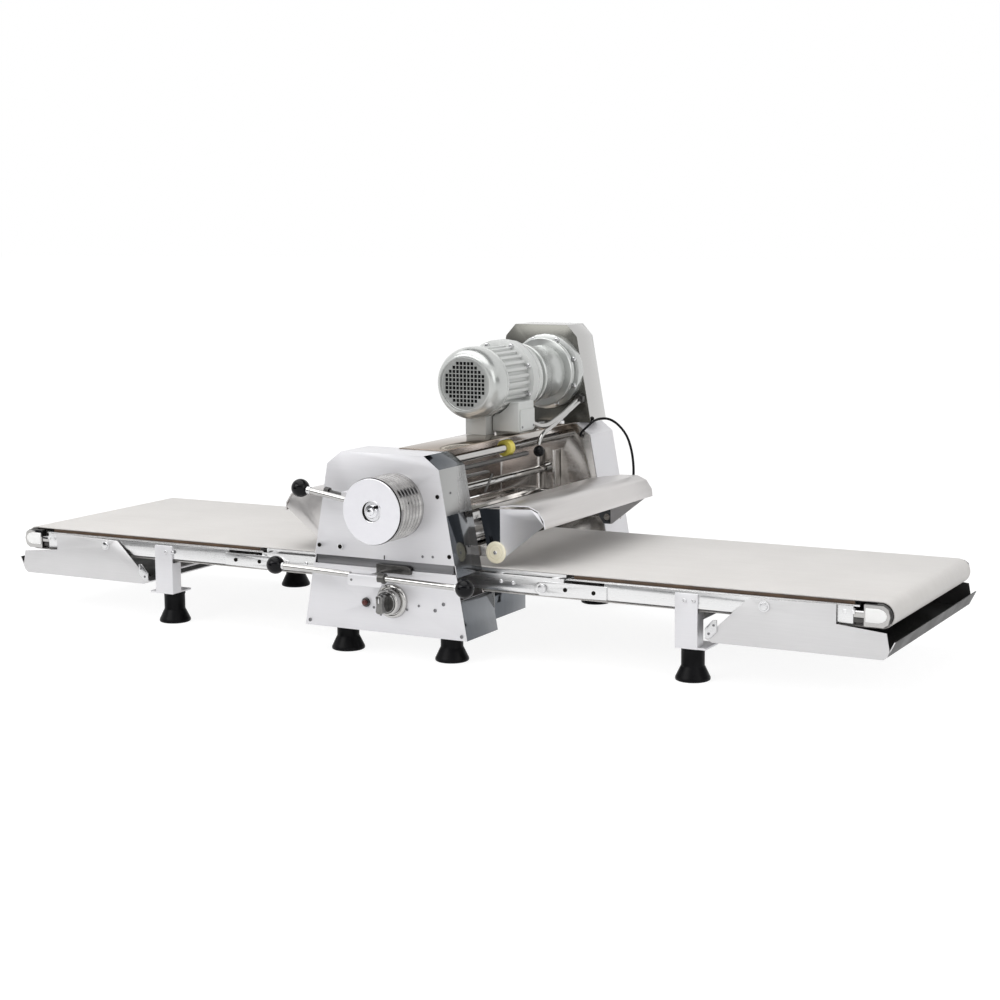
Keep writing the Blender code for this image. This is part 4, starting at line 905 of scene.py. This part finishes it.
def makeWheel():
    x, up, radius, front, rear = roundNode("gap_handwheel")
    face = front + 5
    # nut and washer, the recess round them, then the wide face
    steps = [(front, 3.4), (front + 0.6, wheel["nut"] - 1.2), (front + 2.2, wheel["nut"]), (face - 1.2, wheel["nut"]),
             (face - 1.0, wheel["boss"] - 0.8), (face, wheel["boss"]), (face + wheel["recess"], wheel["boss"]),
             (face + wheel["recess"], wheel["hub"] - 1.0), (face, wheel["hub"]), (face - 0.6, wheel["hub"] + 1.2),
             (face - 0.6, wheel["hub"] + 2.4), (face, wheel["hub"] + 3.2), (face, wheel["face"]),
             (face + 0.8, wheel["face"] + 0.8), (face + 2.0, wheel["face"] + 0.8), (face + 2.3, wheel["face"] - 0.8),
             (face + 4.6, wheel["face"] - 0.8), (face + 5.0, radius + 0.6), (face + 7.0, radius + 0.6),
             (face + 8.0, radius)]
    along = face + 14
    pitch = (rear - 5 - along) / wheel["ribs"]
    for rib in range(wheel["ribs"]):
        begin = along + rib * pitch
        steps += [(begin, radius), (begin + 1.2, radius - wheel["groove"]),
                  (begin + pitch * 0.45, radius - wheel["groove"]), (begin + pitch * 0.62, radius)]
    steps += [(rear - 1, radius), (rear, radius - 1), (rear, wheel["hub"]), (-0.4, wheel["hub"]),
              (-0.3, wheel["bore"])]
    made = turned("handwheel", steps, spot(x, 0, up), finishes["turned"], "gap_wheel", "turned", sides=96, smooth=28)
    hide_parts("gap_handwheel")

    def fromAxis(middle):
        return math.hypot(middle.x / mm - x, middle.z / mm - up), (middle.y - frontY) / mm

    def onFace(middle, normal):
        away, back = fromAxis(middle)
        return normal.y < -0.9 and away > wheel["boss"] and back < face + 1.0

    def inShadow(middle, normal):
        away, back = fromAxis(middle)
        rim = face + 1.9 < back < face + 5.2 and away > 50
        recess = face + 0.2 < back < face + wheel["recess"] - 0.1 and wheel["boss"] + 1 < away < wheel["hub"]
        return rim or recess

    def onRim(middle, normal):
        away, back = fromAxis(middle)
        return away > wheel["face"] - 4 and back > face + 5.5

    # painted reflection streaks on the rim
    refinish("handwheel", trims["rimPaintedReflection"], onRim)
    refinish("handwheel", trims["wheelFace"], onFace)
    refinish("handwheel", trims["shade"], inShadow)
    # stop peg on the face
    turned("wheel_stop_peg", [(face - 3.2, 1.6), (face - 2.4, 2.8), (face + 1, 2.8)], spot(x + 9.6, 0, up + 9.6),
           trims["shade"], "gap_wheel", "turned", sides=20)
    return x, up, radius


wheelX, wheelUp, wheelRadius = makeWheel()
lever = {"angle": 171.0, "length": 192.0, "depth": -50.0, "rod": 6.0, "ball": 18.5, "collar": 8.2,
         "ferrule": 7.4}


def onLever(reach):
    # a place on the gap lever, so far from the wheel's axis
    turn = math.radians(lever["angle"])
    return (wheelX + reach * math.cos(turn), lever["depth"], wheelUp + reach * math.sin(turn))


def makeGapLever():
    length = lever["length"]
    shaft = rod("gap_lever_rod", onLever(49), onLever(length - 14), lever["rod"], finishes["chrome"], "gap_wheel",
                "chrome")
    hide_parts("gap_lever")
    rod("gap_lever_collar", onLever(wheelRadius + 0.4), onLever(wheelRadius + 5), lever["collar"], trims["screw"],
        "gap_wheel", "chrome")
    rod("gap_lever_ferrule", onLever(length - 25), onLever(length - 15.5), lever["ferrule"], trims["screw"],
        "gap_wheel", "chrome")
    ball("gap_lever_ball", onLever(length), lever["ball"], spot(*onLever(10)) - spot(*onLever(0)), trims["ball"],
         "gap_wheel")


makeGapLever()

# Direction lever.
swing = {"ends": ((-224, 182.2), (212, 169.8)), "hub": (-8, 166), "depth": -50, "rod": 6.0, "ball": 18.5,
         "ferrule": 7.4, "collar": 10.5, "plate": (-48, 30, 157, 180), "plateDepth": (-58, -42)}


def makeDirectionLever():
    body = "direction_lever"
    left, right, low, high = swing["plate"]
    front, rear = swing["plateDepth"]
    outline = [(left, low + 2), (left + 3, low), (right - 4, low), (right, low + 5), (right, high - 3),
               (right - 3, high), (left + 3, high), (left, high - 3)]
    hub = plate("direction_hub", outline, (front, rear), finishes["panel"], body, "chrome", bevel=1.6, segments=3)
    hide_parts("direction_lever")
    axis = spot(swing["hub"][0], 0, swing["hub"][1])
    turned("direction_spindle", [(-44, 7.0), (60, 7.0), (61, 6.0)], axis, finishes["chrome"], body, "chrome",
           sides=32)
    turned("direction_bush", [(-40, 11), (-38, 12.5), (-1.2, 12.5), (-0.4, 11.5)], axis, trims["screw"], body,
           "chrome", sides=40)
    (leftX, leftUp), (rightX, rightUp) = swing["ends"]
    slope = (rightUp - leftUp) / (rightX - leftX)

    def on(x):
        return (x, swing["depth"], leftUp + slope * (x - leftX))

    for side, inner, outer, end in (("left", left + 3, leftX + 13, leftX),
                                    ("right", right - 4, rightX - 13, rightX)):
        rod("direction_rod_" + side, on(inner), on(outer), swing["rod"], finishes["chrome"], body, "chrome")
        step = 1 if end > 0 else -1
        if side == "right":
            rod("direction_collar", on(inner - 6), on(inner + 9), swing["collar"], finishes["dark"], body, "dark")
        rod("direction_ferrule_" + side, on(outer - step * 8), on(outer + step), swing["ferrule"], trims["screw"],
            body, "chrome")
        ball("direction_ball_" + side, on(end), swing["ball"], spot(*on(end)) - spot(*on(0)), trims["ball"], body)
    screw("small", "direction_hub_screw", (left + 9, front + 0.2, (low + high) / 2), forward, body)


makeDirectionLever()

# Switch and lamp.
switch = {"centre": (19, 121), "ring": 34.5, "bezel": 26.0, "grip": 8.5}


def makeSwitch():
    x, up = switch["centre"]
    ring = switch["ring"]
    bezel = switch["bezel"]
    steps = [(-0.4, ring), (-3.0, ring), (-6.0, ring - 2.0), (-7.5, ring - 5.5), (-5.0, ring - 7.0), (-5.0, bezel),
             (-21.0, bezel - 0.8), (-23.5, bezel - 2.6), (-24.0, bezel - 4.4), (-20.0, bezel - 5.0), (-20.0, 7.0),
             (30, 7.0)]
    made = turned("switch_bezel", steps, spot(x, 0, up), finishes["chrome"], "head", "chrome", sides=72, smooth=40)
    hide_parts("switch_housing")

    # painted shade: the bezel's cup is near black inside
    def inCup(middle, normal):
        away = math.hypot(middle.x / mm - x, middle.z / mm - up)
        return away < bezel - 5.4 and (middle.y - frontY) / mm > -20.6

    refinish("switch_bezel", trims["shade"], inCup)
    knob = turned("switch_cap", [(-27.0, 19.0), (-25.0, 20.4), (-24.4, 20.4), (-24.3, 6.0), (10, 6.0)],
                  spot(x, 0, up), finishes["knob"], "switch_knob", "knob", sides=48)
    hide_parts("switch_knob")
    grip = switch["grip"]
    outline = [(x - grip, up - 16), (x - 3, up - 18.5), (x + 3, up - 18.5), (x + grip, up - 16), (x + grip - 2, up),
               (x + grip, up + 16), (x + 3, up + 18.5), (x - 3, up + 18.5), (x - grip, up + 16), (x - grip + 2, up)]
    plate("switch_grip", outline, (-51, -26.5), finishes["knob"], "switch_knob", "knob", bevel=2.4, segments=3)
    block("switch_pointer", (x - 1.1, -51.7, up + 3), (x + 1.1, -50.6, up + 15), trims["screw"], "switch_knob", "knob",
          bevel=0.3)
    screws("small", "switch_flange_screw", ((x - 43, 0, up - 17), (x - 27, 0, up - 30)), forward, "head")
    lampX, lampUp = roundNode("pilot_lamp")[:2]
    axis = spot(lampX, 0, lampUp)
    lens = turned("lamp_lens", [(-9.6, 2.0), (-9.2, 4.4), (-7.6, 5.8), (-0.4, 6.0), (-0.4, 4.8), (14, 4.8)], axis,
                  finishes["lens"], "head", "lens", sides=36, smooth=60)
    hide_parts("pilot_lamp")
    ringed("lamp_bezel", [(-0.35, 6.4), (-0.35, 9.4), (-2.6, 9.2), (-4.0, 8.2), (-4.0, 6.4)], axis,
           finishes["dark"], "head", "dark", sides=36)


makeSwitch()

# Screws and marks on the covers.
coverScrews = {
    "black": ((-151, 221), (150, 219), (125, 335), (-101, 221)),
    "corner": ((-177, 65), (176, 63), (136, 124), (117, 110)),
    "small": ((90, 215), (113, 216), (53, 106), (80, 116)),
}
for kind, places in coverScrews.items():
    screws(kind, "cover_screw_" + kind, [(x, 0, up) for x, up in places], forward, "head")
coverSide = {"kneeHalf": 128.5, "footHalf": 188.5, "knee": 387.5, "foot": 55.0}
for side, sign in sides:
    for index, (back, up) in enumerate(((30, 340), (70, 230))):
        share = (coverSide["footHalf"] - coverSide["kneeHalf"]) * (coverSide["knee"] - up)
        half = coverSide["kneeHalf"] + share / (coverSide["knee"] - coverSide["foot"])
        screw("small", "cover_side_screw_%s_%d" % (side, index + 1), (sign * half, back, up), (sign, 0, 0.18), "head")
rearScrews = {
    "rear_cover": (786.9, ((-150, 80), (150, 80), (-110, 380), (110, 380), (-140, 240), (140, 240))),
    "tower": (765, ((-82, 450), (82, 450), (-60, 600), (60, 600))),
}
for name, (back, places) in rearScrews.items():
    screws("small", name + "_screw", [(x, back, up) for x, up in places], backward, "head")
plate("reverse_slide", [(-13, 177), (66, 177), (66, 190), (58, 194), (-13, 194)], (-7, -0.6), finishes["dark"], "head",
      "dark", bevel=1.0)
block("slot_backing", (-158, 2.6, 184.6), (158, 3.6, 201.6), trims["slotBand"], "head", "frame", bevel=0.3)
# raised rim of the open hole beside the left screw
ringed("left_hole_rim", [(-0.3, 4.6), (-1.6, 4.8), (-1.6, 6.4), (-0.3, 6.6)], spot(-101, 0, 221), trims["screw"],
       "head", "frame", sides=32)
block("gap_index_mark", (1.2, -0.7, 202.8), (3.0, -0.1, 211), trims["shade"], "head", "dark", bevel=0.2)
print("controls made")

# Tables.
table = {"fold": (310, 156), "panPivot": (768, 162), "armFace": 87.6, "linkFace": 83.6, "tension": (908, 954),
         "tensionUp": 165, "nuts": (916, 931)}


def dressTable(side, sign):
    leaf = "table_" + side
    (foldX, foldUp), (pivotX, pivotUp) = table["fold"], table["panPivot"]
    linkFace, tensionUp = table["linkFace"], table["tensionUp"]
    armBolts = ((216, 162), (243, 161), (290, 160))[:2 if sign > 0 else 3]
    screws("cap", "arm_bolt_" + side, [(sign * x, table["armFace"], up) for x, up in armBolts], forward, "head")
    screws("black", "link_screw_" + side, ((sign * 359, linkFace, 157), (sign * 420, linkFace, 156)), forward, leaf)
    turned("fold_pin_head_" + side, [(-5.8, 5.2), (-5.0, 8.2), (-2.2, 9.0), (-0.4, 9.0)],
           spot(sign * foldX, linkFace, foldUp), trims["screw"], leaf, "frame", sides=32)
    # painted shade: a thin near black block in the gap at the rail
    low, high = sorted((sign * 438.6, sign * 440.8))
    block("rail_gap_" + side, (low, 83.9, 145), (high, 87.2, 169), trims["shade"], leaf, "dark", bevel=0.2)
    # slide strip under the belt's edge
    strip = [(354, 174.4), (360, 177.6), (945, 177.6), (945, 174.4)]
    plate("belt_strip_" + side, [(sign * x, up) for x, up in strip], (93.9, 99.5), finishes["frame"], leaf, "frame",
          bevel=0.4)
    near, far = (609, 627) if sign > 0 else (605, 587)
    screws("cap", "leg_screw_" + side, ((sign * near, linkFace, 158), (sign * far, linkFace, 159)), forward, leaf)
    # pan pivot: a shouldered screw in a ring washer
    turned("pan_pivot_screw_" + side, [(-4.4, 2.6), (-3.6, 6.6), (-1.6, 7.6), (-1.6, 10.6), (-0.2, 11.0)],
           spot(sign * pivotX, 80.7, pivotUp), trims["screw"], leaf, "frame", sides=40)
    turned("pan_pivot_screw_rear_" + side, [(0.2, 11.0), (1.6, 10.6), (1.6, 7.6), (3.6, 6.6), (4.4, 2.6)],
           spot(sign * pivotX, 623.3, pivotUp), trims["screw"], leaf, "frame", sides=40)
    # catch bracket at the pan's inner end
    pan = "flour_pan_" + side
    catch = [(652, 92), (662, 92), (676, 106), (676, 128), (668, 128), (652, 110)]
    plate("pan_catch_" + side, [(sign * x, up) for x, up in catch], (78.0, 80.6), trims["screw"], pan, "panel",
          bevel=0.5)
    screws("small", "pan_catch_screw_" + side, ((sign * 660, 78.0, 101), (sign * 670, 78.0, 118)), forward, pan)
    # belt tensioner beside each bearing block
    for end, outer, inner in (("front", 88, 96), ("rear", 608, 616)):
        middle = (outer + inner) / 2
        first, last = ((sign * x, middle, tensionUp) for x in table["tension"])
        rod("tension_screw_%s_%s" % (side, end), first, last, 3.2, trims["screw"], leaf, "frame", 24, 0.5)
        for index, x in enumerate(table["nuts"]):
            nut = drawOut([(0, 5.6), (0.8, 6.6), (6.0, 6.6), (6.8, 5.6)], 6)
            aim(nut, spot(sign * x, middle, tensionUp), (sign, 0, 0))
            settle(nut, "tension_nut_%s_%s_%d" % (side, end, index + 1), trims["screw"], leaf, "frame")
        low, high = sorted((sign * 906, sign * 953))
        block("tension_guard_%s_%s" % (side, end), (low, outer + 1.6, 146), (high, inner - 1.6, 155),
              finishes["dark"], leaf, "dark", bevel=0.8)
    # pale cap on the bearing block, rounded at the free end
    capOutline = [(958, 149), (983, 149), (991, 151.5), (996, 156), (998, 162), (996, 168), (991, 172.5), (983, 175),
                  (958, 175)]
    plate("axle_cap_" + side, [(sign * x, up) for x, up in capOutline], (84.6, 88.4), finishes["bearing"], leaf,
          "bearing", bevel=1.2, segments=3)
    (left, right), (front, rear), (low, high) = edges("belt_outer_" + side)
    radius = (high - low) / 2
    reach = max(abs(left), abs(right)) - radius
    for end, begin, along in (("front", front - 5, 4.0), ("rear", rear + 1, 8.0)):
        steps = [(0, 9), (0, radius - 4.5), (1.0, radius - 3.4), (along - 1.0, radius - 3.4), (along, radius - 4.5),
                 (along, 9)]
        turned("roller_collar_%s_%s" % (side, end), steps, spot(sign * reach, begin, low + radius), finishes["dark"],
               leaf, "frame", sides=56)


for side, sign in sides:
    dressTable(side, sign)
print("tables dressed")

# Feet.
footShape = {"flange": 34.0, "flareFrom": 9.0, "neck": 22.6, "neckFrom": 29.0, "flareSteps": 8}


def makeFoot(node):
    (left, right), (front, rear), (low, high) = edges(node)
    centre = spot((left + right) / 2, (front + rear) / 2, 0)
    flange, neck, flareFrom = footShape["flange"], footShape["neck"], footShape["flareFrom"]
    rise, count = footShape["neckFrom"] - flareFrom, footShape["flareSteps"]
    steps = [(0, flange - 3), (1.4, flange - 0.6), (3.4, flange), (6.4, flange - 0.4), (flareFrom, flange - 1.8)]
    for step in range(1, count + 1):
        # the flare up to the neck
        angle = math.pi / 2 * step / count
        steps.append((flareFrom + rise * math.sin(angle) * 0.45 + rise * 0.55 * step / count,
                      neck + (flange - 1.8 - neck) * (1 - step / count) ** 1.25))
    steps += [(high - 5.4, neck), (high - 4.6, neck + 1.0), (high - 1.2, neck + 1.0), (high, neck - 0.4)]
    body = nodes[node]["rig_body"]
    made = turned(node + "_moulding", steps, centre, finishes["rubber"], body, "rubber", upward, 56, 40)
    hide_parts(node)
    turned(node + "_stud", [(high - 3, 6.5), (high + 0.2, 6.5)], centre, trims["screw"], body, "frame", upward, 24)


for node in [name for name in nodes if "_foot_" in name]:
    makeFoot(node)
print("feet moulded")

# Motor.
motor = {"face": 57.5, "holes": 48.5, "cell": 2.15, "cells": 55, "dome": 12, "domeDepth": 34, "wall": 1.5,
         "boltCircle": 76.5, "bolts": 8, "flanges": (("motor", 445.5), ("gearbox", 661.5)),
         "rings": ((500, 74, 9), (528, 71, 7), (640, 76, 10))}


def makeMotor():
    x, up, radius, front, rear = roundNode("motor_fan_cover")
    # domed shell, drawn out as a ring and given a wall
    face = motor["face"]
    steps = [(front, face - 1.5), (front, face)]
    for step in range(1, motor["dome"] + 1):
        angle = math.pi / 2 * step / motor["dome"]
        steps.append((front + motor["domeDepth"] * (1 - math.cos(angle)), face + (radius - face) * math.sin(angle)))
    steps += [(rear - 8, radius), (rear - 7.4, radius - 0.8), (rear - 6, radius - 0.8), (rear - 5.4, radius),
              (rear, radius)]
    dome = drawOut(steps, 72, open=True)
    aim(dome, spot(x, 0, up), backward)
    workOn(dome)
    bpy.ops.object.transform_apply(location=True, rotation=True, scale=True)
    editMode(dome, True)
    facesOut()
    editMode(dome, False)
    useModifier(dome, "SOLIDIFY", thickness=motor["wall"] * mm, offset=-1.0)
    settle(dome, "fan_cover_dome", finishes["cast"], "head", "cast", 40)
    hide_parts("motor_fan_cover")

    # painted shade: the dome's inside faces are near black
    def domeInside(middle, normal):
        outward = normal.x * (middle.x / mm - x) + normal.z * (middle.z / mm - up)
        return outward < -1.0 or normal.y > 0.5

    refinish("fan_cover_dome", trims["shade"], domeInside)
    # grille: a fine grid, its holes deleted, thickened and trimmed round
    cells = motor["cells"]
    width = cells * motor["cell"]
    bpy.ops.object.select_all(action="DESELECT")
    bpy.ops.mesh.primitive_grid_add(x_subdivisions=cells, y_subdivisions=cells, size=width * mm)
    grille = bpy.context.object
    editMode(grille, True)

    def isHole(middle, normal):
        # every fourth row of cells stays as a bar, so a hole is three cells square
        column = round(middle.x / mm / motor["cell"]) + 2
        row = round(middle.y / mm / motor["cell"]) + 2
        if column % 4 == 0 or row % 4 == 0:
            return False
        centre = [value - 2 + (2 - value % 4) for value in (column, row)]
        return math.hypot(*centre) * motor["cell"] < motor["holes"]

    choose(grille, "FACE", isHole)
    bpy.ops.mesh.delete(type="FACE")
    editMode(grille, False)
    useModifier(grille, "SOLIDIFY", thickness=1.4 * mm, offset=0.0)
    trimmer = drawOut([(-5, face - 0.4), (5, face - 0.4)], 72)
    useModifier(grille, "BOOLEAN", operation="INTERSECT", solver="EXACT", object=trimmer)
    bpy.data.objects.remove(trimmer)
    aim(grille, spot(x, front + 1.2, up), backward)
    settle(grille, "fan_grille", finishes["cast"], "head", "cast")
    axis = spot(x, 0, up)
    steps = [(front + 10, 9.0), (front + 10, 50.0), (front + 11, 53.0), (front + 14, 53.0), (front + 15, 50.0),
             (front + 15, 9.0)]
    turned("fan_disc", steps, axis, finishes["fan"], "head", "fan", sides=48)
    # ring bead round the grille, top plug and flange bolts
    steps = [(front + 1.6, face - 3.6), (front + 0.3, face - 3.2), (front, face - 2.4), (front + 0.3, face - 1.6),
             (front + 1.6, face - 1.2)]
    ringed("grille_bead", steps, axis, finishes["cast"], "head", "cast", sides=72, smooth=60)
    turned("motor_top_plug", [(0, 4.4), (3.0, 4.4), (3.4, 3.4), (5.2, 3.0)], spot(x - 12, 368, up + 69),
           trims["screw"], "head", "cast", upward, 20)
    for index in range(motor["bolts"]):
        angle = math.pi * 2 * (index + 0.5) / motor["bolts"]
        reach, rise = motor["boltCircle"] * math.cos(angle), motor["boltCircle"] * math.sin(angle)
        for name, back in motor["flanges"]:
            screw("bolt", "%s_flange_bolt_%d" % (name, index + 1), (x + reach, back, up + rise), forward, "head")
    # raised rings round the gearbox
    for index, (back, size, thick) in enumerate(motor["rings"]):
        steps = [(back, 60), (back, size - 1.6), (back + 1.6, size), (back + thick - 1.6, size),
                 (back + thick, size - 1.6), (back + thick, 60)]
        turned("gearbox_ring_%d" % (index + 1), steps, axis, finishes["cast"], "head", "cast", sides=72)


makeMotor()


def makeWiring():
    (left, right), (front, rear), (low, high) = edges("terminal_box")
    block("terminal_lid", (right - 0.4, front + 3, low + 4), (right + 3.4, rear - 3, high - 16), trims["finned"],
          "head", "cast", bevel=1.4, segments=3)
    places = [(right + 3.3, back, low + 10) for back in (front + 9, rear - 9)]
    screws("small", "terminal_lid_screw", places, rightward, "head")
    made = pipe("conduit_upper", [(94, 445, 440), (97, 468, 430), (101, 505, 424), (103, 560, 434), (102, 620, 451),
                                  (99, 660, 463), (99, 684.6, 470)], 5.6, finishes["chrome"], "head", "chrome")
    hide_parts("motor_conduit")
    pipe("conduit_lower", [(104, 467, 386), (106, 472, 399), (107, 486, 409), (107, 520, 418), (106, 600, 442),
                           (104, 655, 458), (103, 684.6, 465)], 4.4, finishes["chrome"], "head", "chrome")
    for name, place, direction in (("box", (94, 444.6, 440), (0.1, 1, -0.4)), ("front", (80, 530, 415.8), upward),
                                   ("rear", (80, 619, 415.8), upward)):
        gland = drawOut([(-1, 9), (0.8, 10.4), (7, 10.4), (8, 9), (8, 7.8), (12, 7.4), (13, 6)], 8)
        settle(aim(gland, spot(*place), direction), "conduit_gland_" + name, trims["screw"], "head", "chrome")
    turned("conduit_nut", [(0, 10.6), (0.8, 12.0), (9, 12.0), (15.4, 10.6)], spot(101, 669, 467), finishes["dark"],
           "head", "dark", backward, 6)


makeWiring()
print("motor made")

# Collar, rods and skirt under the top cover.
topWork = {"bar": (82, 390), "collar": (352, 372), "releaseRod": 5.0, "releaseKnob": 12.0, "link": 2.4}


def makeTopWork():
    x, up = topWork["bar"]
    front, rear = topWork["collar"]
    turned("bar_collar", [(front, 9.4), (front, 16.2), (front + 1.5, 17.6), (rear - 1.5, 17.6), (rear, 16.2),
                          (rear, 9.4)], spot(x, 0, up), trims["yellow"], "head", "nylon", sides=40)
    rod("release_rod", (100, 120, 372), (96, 430, 372), topWork["releaseRod"], finishes["dark"], "head", "dark")
    block("cover_skirt_left", (-99.2, 106, 252), (-98, 670, 384), trims["skirt"], "head", "panel", bevel=0.3)
    block("brass_strip", (92, 104, 352), (104, 250, 356), finishes["dark"], "head", "dark", bevel=0.6)
    ball("release_knob", (104, 470, 372), topWork["releaseKnob"], backward, trims["ball"], "head")
    rod("interlock_link", (118, 236, 352), (112, 214, 316), topWork["link"], finishes["dark"], "head", "dark")


makeTopWork()
print("top work made")
for master in masters.values():
    bpy.data.objects.remove(master)
